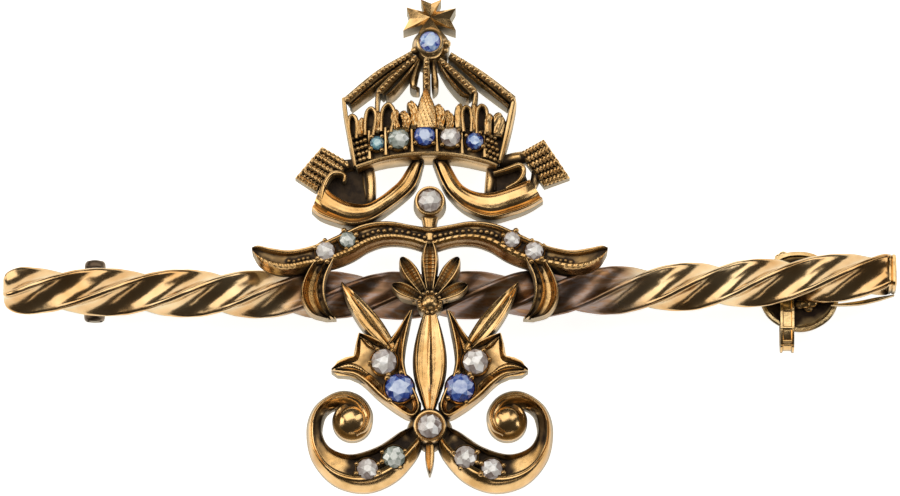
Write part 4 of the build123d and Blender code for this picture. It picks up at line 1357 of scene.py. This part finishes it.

# %% [markdown]
# ## Stones
#
# The blue stones are cut with a table and two rows of facets. The colourless ones are old rose
# cuts with a small table, whose facets differ a little in tilt, and each facet has painted light or shade.


# %% Cut stones
def cut_stone(place, level, width, kind, seed):
    """A faceted stone: table, stars, kites, girdle facets and a cone below."""
    mixed = np.random.default_rng(seed)
    sides = 8 if kind == "sapphire" else 6
    radius = width / 2
    table, waist = (0.54, 0.8) if kind == "sapphire" else (0.36, 0.72)
    rise = (0.2 if kind == "sapphire" else 0.24) * width
    start = mixed.uniform(0, 2 * pi / sides)

    def ring(count, share, lift, offset, jitter):
        turns = start + (np.arange(count) + offset) * 2 * pi / count
        reach = radius * share * (1 + mixed.uniform(-jitter, jitter, count))
        corners = []
        for out, turn in zip(reach, turns):
            height = lift + mixed.uniform(-jitter, jitter) * 0.15
            corners.append((place[0] + out * cos(turn), place[1] + out * sin(turn), height))
        return corners

    loose = 0.03 if kind == "sapphire" else 0.07
    top = ring(sides, table, level + rise, 0.0, loose)
    middle = ring(sides, waist, level + rise * 0.62, 0.5, loose)
    girdle = ring(2 * sides, 1.0, level, 0.0, 0.0)
    below = ring(2 * sides, 1.0, level - 0.06 * width, 0.0, 0.0)
    points = top + middle + girdle + below + [(place[0], place[1], level - 0.36 * width)]
    t, m, g, b = 0, sides, 2 * sides, 4 * sides
    tip = 6 * sides
    faces = [list(range(t, t + sides))]
    for step in range(sides):
        after = (step + 1) % sides
        before = (step - 1) % sides
        faces.append([t + step, m + step, t + after])
        faces.append([t + step, m + before, g + 2 * step, m + step])
        faces.append([m + step, g + 2 * step, g + 2 * step + 1])
        faces.append([m + step, g + 2 * step + 1, g + (2 * step + 2) % (2 * sides)])
    for step in range(2 * sides):
        after = (step + 1) % (2 * sides)
        faces.append([g + step, b + step, b + after, g + after])
        faces.append([b + step, tip, b + after])
    return np.array(points), faces


def painted_facet_light(faces, chance, kind):
    """Painted light of the facets: light at the table, mixed round it and dark towards the girdle."""
    sides = len(faces[0])
    tones = np.full(len(faces), 0.2)
    tones[0] = 0.62 + 0.25 * chance[0]
    for step in range(sides):
        first = 1 + 4 * step
        tones[first] = 0.35 + 0.6 * chance[first]
        tones[first + 1] = 0.12 + (0.6 if kind == "sapphire" else 0.8) * chance[first + 1]
        tones[first + 2] = 0.05 + 0.4 * chance[first + 2]
        tones[first + 3] = 0.05 + 0.4 * chance[first + 3]
    return tones


def set_stone(name, place, level, width):
    """A stone as an object, with a tone of painted light for each facet."""
    kind = "sapphire" if "sapphire" in name else "diamond"
    seed = sum(ord(letter) * (step + 3) for step, letter in enumerate(name))
    points, faces = cut_stone(place, level, width, kind, seed)
    mesh = bpy.data.meshes.new(f"cut_{name}")
    mesh.from_pydata(lay_in_frame(points).tolist(), [], faces)
    mesh.update()
    made = bmesh.new()
    made.from_mesh(mesh)
    bmesh.ops.recalc_face_normals(made, faces=made.faces)
    made.to_mesh(mesh)
    made.free()
    chance = np.random.default_rng(seed + 1).uniform(0, 1, len(mesh.polygons))
    tones = painted_facet_light(faces, chance, kind)
    tone = mesh.attributes.new("facet", "FLOAT", "FACE")
    tone.data.foreach_set("value", tones.astype(np.float32))
    stone = bpy.data.objects.new(f"cut_{name}", mesh)
    bpy.context.scene.collection.objects.link(stone)
    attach(stone, "root")
    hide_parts(name)
    return stone


cut_stones = {name: set_stone(name, *values) for name, values in stones.items()}
print("stones", len(cut_stones))

# %% [markdown]
# ## Hollows
#
# Old gold is dark where a cloth can't reach. For each point of the cast work a few rays measure
# how shut in it is, and the patina follows that measure.


# %% Measure the hollows
dark_beds = ("spray_foot", "spray_cup", "spray_arm", "ribbon")
front = face_turn @ np.array([0.0, 0.0, 1.0])


def evened(mesh, measure):
    """A measure of the points, each mixed twice with its neighbours."""
    ends = np.empty(len(mesh.edges) * 2, np.int32)
    mesh.edges.foreach_get("vertices", ends)
    first, second = ends.reshape(-1, 2).T
    for _ in range(2):
        total, number = measure.copy(), np.ones(len(measure))
        for here, there in ((first, second), (second, first)):
            np.add.at(total, here, measure[there])
            np.add.at(number, here, 1)
        measure = total / number
    return measure


def shut_in(pieces, rays, reach, skin_gap=2e-5):
    """Writes to each point of the pieces how much of its view within a reach is blocked.

    The floors of the beds and of the ribbons' turns, sunk below the rims and facing front, get more.
    In the feet that holds near the stones only. The dish of the catch is dark inside its lip."""
    corners, faces, start = [], [], 0
    for piece in pieces:
        mesh = piece.data
        points = np.empty(len(mesh.vertices) * 3, np.float32)
        mesh.vertices.foreach_get("co", points)
        corners += points.reshape(-1, 3).tolist()
        faces += [tuple(index + start for index in face.vertices) for face in mesh.polygons]
        start += len(mesh.vertices)
    tree = BVHTree.FromPolygons(corners, faces)
    step = np.arange(rays) + 0.5
    lift = 1 - 2 * step / rays
    turn = pi * (1 + sqrt(5)) * step
    ball = np.c_[np.sqrt(1 - lift**2) * np.cos(turn), np.sqrt(1 - lift**2) * np.sin(turn), lift]
    for piece in pieces:
        mesh = piece.data
        count = len(mesh.vertices)
        points = np.empty(count * 3, np.float32)
        mesh.vertices.foreach_get("co", points)
        points = points.reshape(-1, 3)
        normals = np.empty(count * 3, np.float32)
        mesh.vertex_normals.foreach_get("vector", normals)
        normals = normals.reshape(-1, 3)
        origins = (points + normals * skin_gap).tolist()
        blocked = np.zeros(count)
        for direction in ball:
            ways = normals * 1.03 + direction
            ways /= np.linalg.norm(ways, axis=1)[:, None] + 1e-9
            hits = [tree.ray_cast(origin, way, reach)[3] for origin, way in zip(origins, ways.tolist())]
            blocked += [0.0 if hit is None else 1.0 - 0.6 * hit / reach for hit in hits]
        measure = evened(mesh, blocked / rays)
        if piece.name.startswith(dark_beds):
            drawn = drawn_points[piece.name]
            sunk = soft_step(0.3, 0.55, rim_level - drawn[:, 2]) * soft_step(0.3, 0.7, normals @ front)
            if piece.name.startswith("spray_foot"):
                away = [
                    np.hypot(*(drawn[:, :2] - place).T) - width / 2 for place, _, width in stones.values()
                ]
                sunk *= 1 - soft_step(0.4, 1.2, np.min(away, axis=0))
            measure += 0.25 * sunk
        if piece.name == "catch_dish":
            out = np.hypot(*(drawn_points[piece.name][:, :2] - catch_place).T)
            measure += 0.5 * (1 - soft_step(0.8, 0.9, out / dish_radius)) - 0.12
        value = mesh.attributes.new("hollow", "FLOAT", "POINT")
        value.data.foreach_set("value", measure.astype(np.float32))


hollow_reach = 0.0014
shut_in(gold_pieces, 16, hollow_reach)
print("points measured", sum(len(piece.data.vertices) for piece in gold_pieces))

# %% [markdown]
# ## Materials
#
# Colours are written as they look and turned to linear values by one function. Patterns are
# sized in millimetres.


# %% Colours and the node helper
def colour(text):
    """A colour as it looks, such as C89650, as linear values."""
    parts = [int(text[i : i + 2], 16) / 255 for i in (0, 2, 4)]
    return (*[part / 12.92 if part <= 0.04045 else ((part + 0.055) / 1.055) ** 2.4 for part in parts], 1.0)


def new_material(name):
    """An empty material with its surface shader: the tree and the shader."""
    made = bpy.data.materials.new(name)
    made.use_nodes = True
    return made, made.node_tree, made.node_tree.nodes["Principled BSDF"]


def add_node(tree, kind, inputs=None, **settings):
    """A node with its settings, and each input linked to a socket or set to a value."""
    made = tree.nodes.new(kind)
    for name, value in settings.items():
        setattr(made, name, value)
    for key, value in (inputs or {}).items():
        if isinstance(value, bpy.types.NodeSocket):
            tree.links.new(value, made.inputs[key])
        else:
            made.inputs[key].default_value = value
    return made


def ramp(tree, factor, stops):
    """A colour ramp from stops of (place, colour)."""
    made = add_node(tree, "ShaderNodeValToRGB", {"Fac": factor})
    bands = made.color_ramp.elements
    while len(bands) < len(stops):
        bands.new(0.5)
    for band, (place, shade) in zip(bands, stops):
        band.position = place
        band.color = colour(shade)
    return made.outputs["Color"]


def noise(tree, per_mm, detail=3.0, roughness=0.55):
    """Noise with so many waves to a millimetre."""
    where = add_node(tree, "ShaderNodeTexCoord").outputs["Object"]
    made = add_node(
        tree, "ShaderNodeTexNoise",
        {"Vector": where, "Scale": per_mm * 1000, "Detail": detail, "Roughness": roughness}
    )
    return made.outputs["Fac"]


def maths(tree, operation, first, second=0.0):
    return add_node(tree, "ShaderNodeMath", {0: first, 1: second}, operation=operation).outputs["Value"]


def wander(tree, per_mm, detail, amount):
    """Noise about 0, scaled by an amount."""
    return maths(tree, "MULTIPLY", maths(tree, "SUBTRACT", noise(tree, per_mm, detail), 0.5), amount)


def spread_over(tree, value, low, high, first=0.0, last=1.0, kind="SMOOTHSTEP"):
    """A value between low and high, spread from first to last."""
    limits = {"Value": value, "From Min": low, "From Max": high, "To Min": first, "To Max": last}
    return add_node(tree, "ShaderNodeMapRange", limits, interpolation_type=kind).outputs["Result"]


def bumps(tree, *rows):
    """Bumps over one another. Each row: strength, depth in mm, waves to a mm, detail."""
    below = {}
    for strength, depth, per_mm, detail in rows:
        inputs = {
            "Strength": strength, "Distance": depth * 1e-3, "Height": noise(tree, per_mm, detail), **below
        }
        below = {"Normal": add_node(tree, "ShaderNodeBump", inputs).outputs["Normal"]}
    return below["Normal"]


def hollows(tree):
    return add_node(tree, "ShaderNodeAttribute", attribute_name="hollow").outputs["Fac"]


def blend_colour(tree, factor, first, second, mode="MIX"):
    made = add_node(tree, "ShaderNodeMix", data_type="RGBA", blend_type=mode)
    for key, value in ((0, factor), (6, first), (7, second)):
        if isinstance(value, bpy.types.NodeSocket):
            tree.links.new(value, made.inputs[key])
        else:
            made.inputs[key].default_value = value
    return made.outputs[2]


# %% [markdown]
# Gold is polished on its high places and brown to black in its hollows. The sides of a casting,
# where the skin stands upright or looks at the table, are duller and less metallic, and get a
# painted greenish grey shade. The strength of the patina and the shine differ from piece to piece.


# %% Gold materials
# A greenish grey painted on the sides of the castings as shade.
painted_side_shade = "988B6C"
grime_tone = "4A3824"
dull_roughness = 0.62


def sideways_skin(tree, low=0.12, high=0.42):
    """1 where the skin stands upright or looks at the table, 0 where it looks up: painted side shade and
    dullness.
    """
    skin = add_node(tree, "ShaderNodeTexCoord").outputs["Normal"]
    upward = add_node(tree, "ShaderNodeSeparateXYZ", {"Vector": skin}).outputs["Z"]
    return spread_over(tree, upward, low, high, 1.0, 0.0)


def gold_material(name, bright, deep, patina, shine, start, end, grain_depth=0.02):
    """Cast gold: bright and deep tones, patina in its hollows from start to end of the measure."""
    made, tree, shader = new_material(name)
    dark = spread_over(tree, maths(tree, "ADD", hollows(tree), wander(tree, 1.1, 4, 0.22)), start, end)
    tone = ramp(tree, noise(tree, 0.5, 3), [(0.35, bright), (0.65, deep)])
    # The sides take a painted greenish grey shade in place of the gold, and are duller.
    side = sideways_skin(tree)
    outside = blend_colour(tree, side, tone, colour(painted_side_shade))
    grime = ramp(tree, noise(tree, 1.8, 3), [(0.4, patina), (0.65, grime_tone)])
    shade = blend_colour(tree, dark, outside, grime)
    tree.links.new(shade, shader.inputs["Base Color"])
    dull = maths(tree, "MAXIMUM", dark, maths(tree, "MULTIPLY", side, 0.7))
    rough = spread_over(tree, dull, 0.0, 1.0, shine, dull_roughness, "LINEAR")
    tree.links.new(maths(tree, "ADD", rough, wander(tree, 3.0, 4, 0.22)), shader.inputs["Roughness"])
    metal = maths(tree, "SUBTRACT", 1.0, maths(tree, "MULTIPLY", dull, 0.55))
    tree.links.new(metal, shader.inputs["Metallic"])
    tree.links.new(bumps(tree, (0.5, grain_depth, 7.0, 4), (0.5, 0.06, 0.9, 2)), shader.inputs["Normal"])
    return made


cast_gold = gold_material("cast_gold_patinated", "E2BC84", "BE965E", "2A1C0F", 0.26, 0.3, 0.62)
crown_gold = gold_material("cast_gold_fine", "E2BE88", "C09A64", "2C1E10", 0.28, 0.42, 0.76, 0.014)
smooth_gold = gold_material("burnished_gold", "E4BE86", "C0965C", "2A1C0F", 0.21, 0.32, 0.64, 0.007)
polished_gold = gold_material("polished_gold", "E8C690", "D0A86E", "2A1D10", 0.2, 0.42, 0.8, 0.008)
dish_gold = gold_material("tarnished_gold_plate", "E0C492", "B8925C", "241006", 0.26, 0.3, 0.6)
steel_gold = gold_material("tarnished_hinge_metal", "9B8872", "5F5042", "241C17", 0.36, 0.26, 0.56)
golds = cast_gold, crown_gold, smooth_gold, polished_gold, dish_gold, steel_gold
print("gold materials", [paint.name for paint in golds])

# %% [markdown]
# The bar is polished, but where the ornament stands over it a brown and bluish tarnish has
# stayed. It fades out at both sides of the ornament.


# %% Bar material
veil_reach = 0.0085
veil_end = 0.0145


def bar_material():
    made, tree, shader = new_material("polished_bar_gold")
    where = add_node(tree, "ShaderNodeTexCoord").outputs["Object"]
    along = add_node(tree, "ShaderNodeSeparateXYZ", {"Vector": where}).outputs["X"]
    from_middle = maths(tree, "ABSOLUTE", maths(tree, "ADD", along, wander(tree, 0.35, 3, 0.007)))
    veil = spread_over(tree, from_middle, veil_reach, veil_end, 1.0, 0.0)
    dirt = spread_over(tree, hollows(tree), 0.25, 0.7)
    face = ramp(tree, noise(tree, 0.3, 3), [(0.35, "E2C496"), (0.65, "C89C66")])
    # The bar's sides are painted a pale greenish gold: a painted reflection of the white table.
    side = maths(tree, "MULTIPLY", sideways_skin(tree, 0.1, 0.6), 0.6)
    gold = blend_colour(tree, side, face, colour("D2CCA0"))
    stretched = add_node(
        tree, "ShaderNodeMapping", {"Vector": where, "Scale": (0.35, 1.4, 1.4)}
    ).outputs["Vector"]
    smears = add_node(
        tree, "ShaderNodeTexNoise", {"Vector": stretched, "Scale": 1100.0, "Detail": 4.0}
    ).outputs["Fac"]
    tones = [(0.3, "4A3026"), (0.45, "725040"), (0.55, "84787A"), (0.62, "7C5644"), (0.75, "A0744C")]
    tarnish = ramp(tree, smears, tones)
    tinted = blend_colour(tree, maths(tree, "MULTIPLY", veil, 0.86), gold, tarnish)
    shade = blend_colour(tree, dirt, tinted, colour("20140C"))
    tree.links.new(shade, shader.inputs["Base Color"])
    rough = maths(tree, "ADD", maths(tree, "MULTIPLY", veil, 0.16), 0.19)
    tree.links.new(maths(tree, "ADD", rough, maths(tree, "MULTIPLY", dirt, 0.3)), shader.inputs["Roughness"])
    shader.inputs["Metallic"].default_value = 1.0
    tree.links.new(bumps(tree, (0.5, 0.008, 5.0, 4), (0.6, 0.09, 0.55, 2)), shader.inputs["Normal"])
    return made


# %% [markdown]
# A stone's facets take tones from a ramp, as if each threw back another part of the room: painted
# reflections. They also glow faintly, which is painted light. A clear coat over them gives the
# crisp shine of cut stone.


# %% Stone materials
def stone_material(name, stops, see_through):
    made, tree, shader = new_material(name)
    facet = add_node(tree, "ShaderNodeAttribute", attribute_name="facet").outputs["Fac"]
    shade = ramp(tree, maths(tree, "ADD", facet, wander(tree, 2.6, 3, 0.8)), stops)
    tree.links.new(shade, shader.inputs["Base Color"])
    # The facets glow faintly in their own tones: painted light, not a lamp.
    tree.links.new(shade, shader.inputs["Emission Color"])
    shader.inputs["Emission Strength"].default_value = 0.22
    shader.inputs["Roughness"].default_value = 0.07
    shader.inputs["IOR"].default_value = 2.0
    shader.inputs["Transmission Weight"].default_value = see_through
    shader.inputs["Coat Weight"].default_value = 0.6
    shader.inputs["Coat Roughness"].default_value = 0.02
    return made


# Stone: material, place and colour of each stop of its ramp, and the share of light let through.
# The ramps hold the stone's own colour with painted light and shade on its facets.
stone_ramps = {
    "sapphire": (
        "cut_sapphire", [(0.1, "1A2A6C"), (0.35, "3854A8"), (0.6, "6A86C8"), (0.85, "B6C8EA")], 0.15
    ),
    "pale_sapphire": (
        "cut_pale_sapphire", [(0.1, "3A49A0"), (0.4, "86A6DA"), (0.7, "B9D0EA"), (0.9, "DDE9F4")], 0.1
    ),
    "teal_sapphire": (
        "cut_teal_sapphire", [(0.1, "1E3F5A"), (0.4, "4E8296"), (0.7, "8FBFC8"), (0.9, "D2E6E8")], 0.1
    ),
    "dark_sapphire": (
        "cut_dark_sapphire", [(0.1, "0C1646"), (0.45, "22388C"), (0.75, "7AA0D8"), (0.92, "CFE2F6")], 0.1
    ),
    "diamond": (
        "rose_cut_diamond",
        [(0.05, "7A6A62"), (0.25, "A79C98"), (0.5, "CFC9C4"), (0.75, "EDEBE6"), (0.95, "FFFFFF")],
        0.12,
    ),
    "grey_diamond": (
        "rose_cut_grey_diamond",
        [(0.05, "4E5650"), (0.3, "7F8A82"), (0.55, "A9B2AA"), (0.8, "D5DAD4"), (0.95, "F4F6F2")],
        0.12,
    ),
}
stone_materials = {kind: stone_material(*row) for kind, row in stone_ramps.items()}
special_stones = {
    "orb_sapphire": "pale_sapphire",
    "band_sapphire_left": "teal_sapphire",
    "band_sapphire_right": "dark_sapphire",
    "band_diamond_left": "grey_diamond",
    "arm_diamond_inner_left": "grey_diamond",
    "foot_diamond_inner_left": "grey_diamond",
}
for name, stone in cut_stones.items():
    plain = "sapphire" if "sapphire" in name else "diamond"
    stone.data.materials.append(stone_materials[special_stones.get(name, plain)])

# %% [markdown]
# The ribbons, feet, cups, leaves and cross are burnished, the rest of the crown has a finer
# grain than the other castings, and the fittings have their own tarnish.

# %% Hand out the gold materials
bar_gold = bar_material()
burnished = ("ribbon", "spray_foot", "spray_cup", "spray_lance", "spray_petal", "crown_cross")
for piece in gold_pieces:
    if piece.name == "twisted_bar":
        chosen = bar_gold
    elif piece.name in ("bar_end_cap", "catch_hook"):
        chosen = polished_gold
    elif piece.name.startswith(burnished):
        chosen = smooth_gold
    elif piece.name.startswith("crown"):
        chosen = crown_gold
    elif piece.name == "catch_dish":
        chosen = dish_gold
    elif piece.name == "hinge_barrel":
        chosen = steel_gold
    else:
        chosen = cast_gold
    piece.data.materials.append(chosen)
for name in ("pin_stem", "hinge_rivet"):
    nodes[name].data.materials.clear()
    nodes[name].data.materials.append(steel_gold)
print("gold pieces", len(gold_pieces))

# %% [markdown]
# ## Table, light and camera
#
# The brooch lies on a pale, faintly glowing table, so the ground stays white in the picture.

# %% Table
table_size = 0.5
table_points = [
    (table_size * across, table_size * up, 0) for across, up in ((-1, -1), (1, -1), (1, 1), (-1, 1))
]
table_mesh = bpy.data.meshes.new("table")
table_mesh.from_pydata(table_points, [], [(0, 1, 2, 3)])
table = bpy.data.objects.new("table", table_mesh)
bpy.context.scene.collection.objects.link(table)
table_paint, _, table_shader = new_material("pale_table")
table_shader.inputs["Base Color"].default_value = colour("F4F4F2")
table_shader.inputs["Roughness"].default_value = 0.9
table_shader.inputs["Emission Color"].default_value = colour("FFFFFF")
table_shader.inputs["Emission Strength"].default_value = 0.85
table_mesh.materials.append(table_paint)

# %% [markdown]
# Soft boxes stand round the table. The dark room between them gives gold its deep reflections.


# %% Light
def soft_box(name, place, size, power, tint="FFFFFF"):
    """A rectangular light that looks at the brooch."""
    lamp = bpy.data.lights.new(name, "AREA")
    lamp.shape = "RECTANGLE"
    lamp.size, lamp.size_y = size
    lamp.energy = power
    lamp.color = colour(tint)[:3]
    box = bpy.data.objects.new(name, lamp)
    box.location = place
    aim = Vector((0, 0, 0.004)) - Vector(place)
    box.rotation_euler = aim.to_track_quat("-Z", "Y").to_euler()
    bpy.context.scene.collection.objects.link(box)


soft_box("far_left_panel", (-0.2, 0.42, 0.62), (0.76, 0.62), 2.75, "FFFAF2")
soft_box("far_right_panel", (0.48, 0.42, 0.62), (0.34, 0.62), 1.2, "FFFAF2")
soft_box("left_panel", (-0.62, 0.05, 0.3), (0.34, 0.4), 1.1, "FFF8EE")
soft_box("right_panel", (0.62, -0.1, 0.32), (0.2, 0.3), 0.4, "FFFFFF")
soft_box("near_strip", (0.1, -0.6, 0.3), (0.5, 0.08), 0.16, "FFF4E6")
world = bpy.data.worlds.new("room")
world.use_nodes = True
world.node_tree.nodes["Background"].inputs["Color"].default_value = colour("8A8680")
world.node_tree.nodes["Background"].inputs["Strength"].default_value = 0.2
bpy.context.scene.world = world

# %% [markdown]
# The camera looks straight down from far away, as the photo does.

# %% Camera
lens = 300.0
sensor = 36.0
view_width = 0.05796
face_height = 0.004
view_shift = -0.00014
camera_data = bpy.data.cameras.new("camera")
camera_data.lens = lens
camera_data.sensor_width = sensor
camera_height = view_width * lens / sensor + face_height
camera_data.clip_start = 0.01
camera_data.clip_end = 10
camera = bpy.data.objects.new("camera", camera_data)
camera.location = (0.0, view_shift, camera_height)
bpy.context.scene.collection.objects.link(camera)
bpy.context.scene.camera = camera
bpy.context.scene.view_settings.view_transform = "Standard"
print("camera height", round(camera_height, 3), "m")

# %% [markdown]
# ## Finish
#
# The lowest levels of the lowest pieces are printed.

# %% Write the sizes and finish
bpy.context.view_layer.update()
lowest = {piece.name: min(point.co.z for point in piece.data.vertices) for piece in gold_pieces}
print(
    "lowest pieces, mm",
    [(name, round(lowest[name] * 1000, 3)) for name in sorted(lowest, key=lowest.get)[:6]]
)
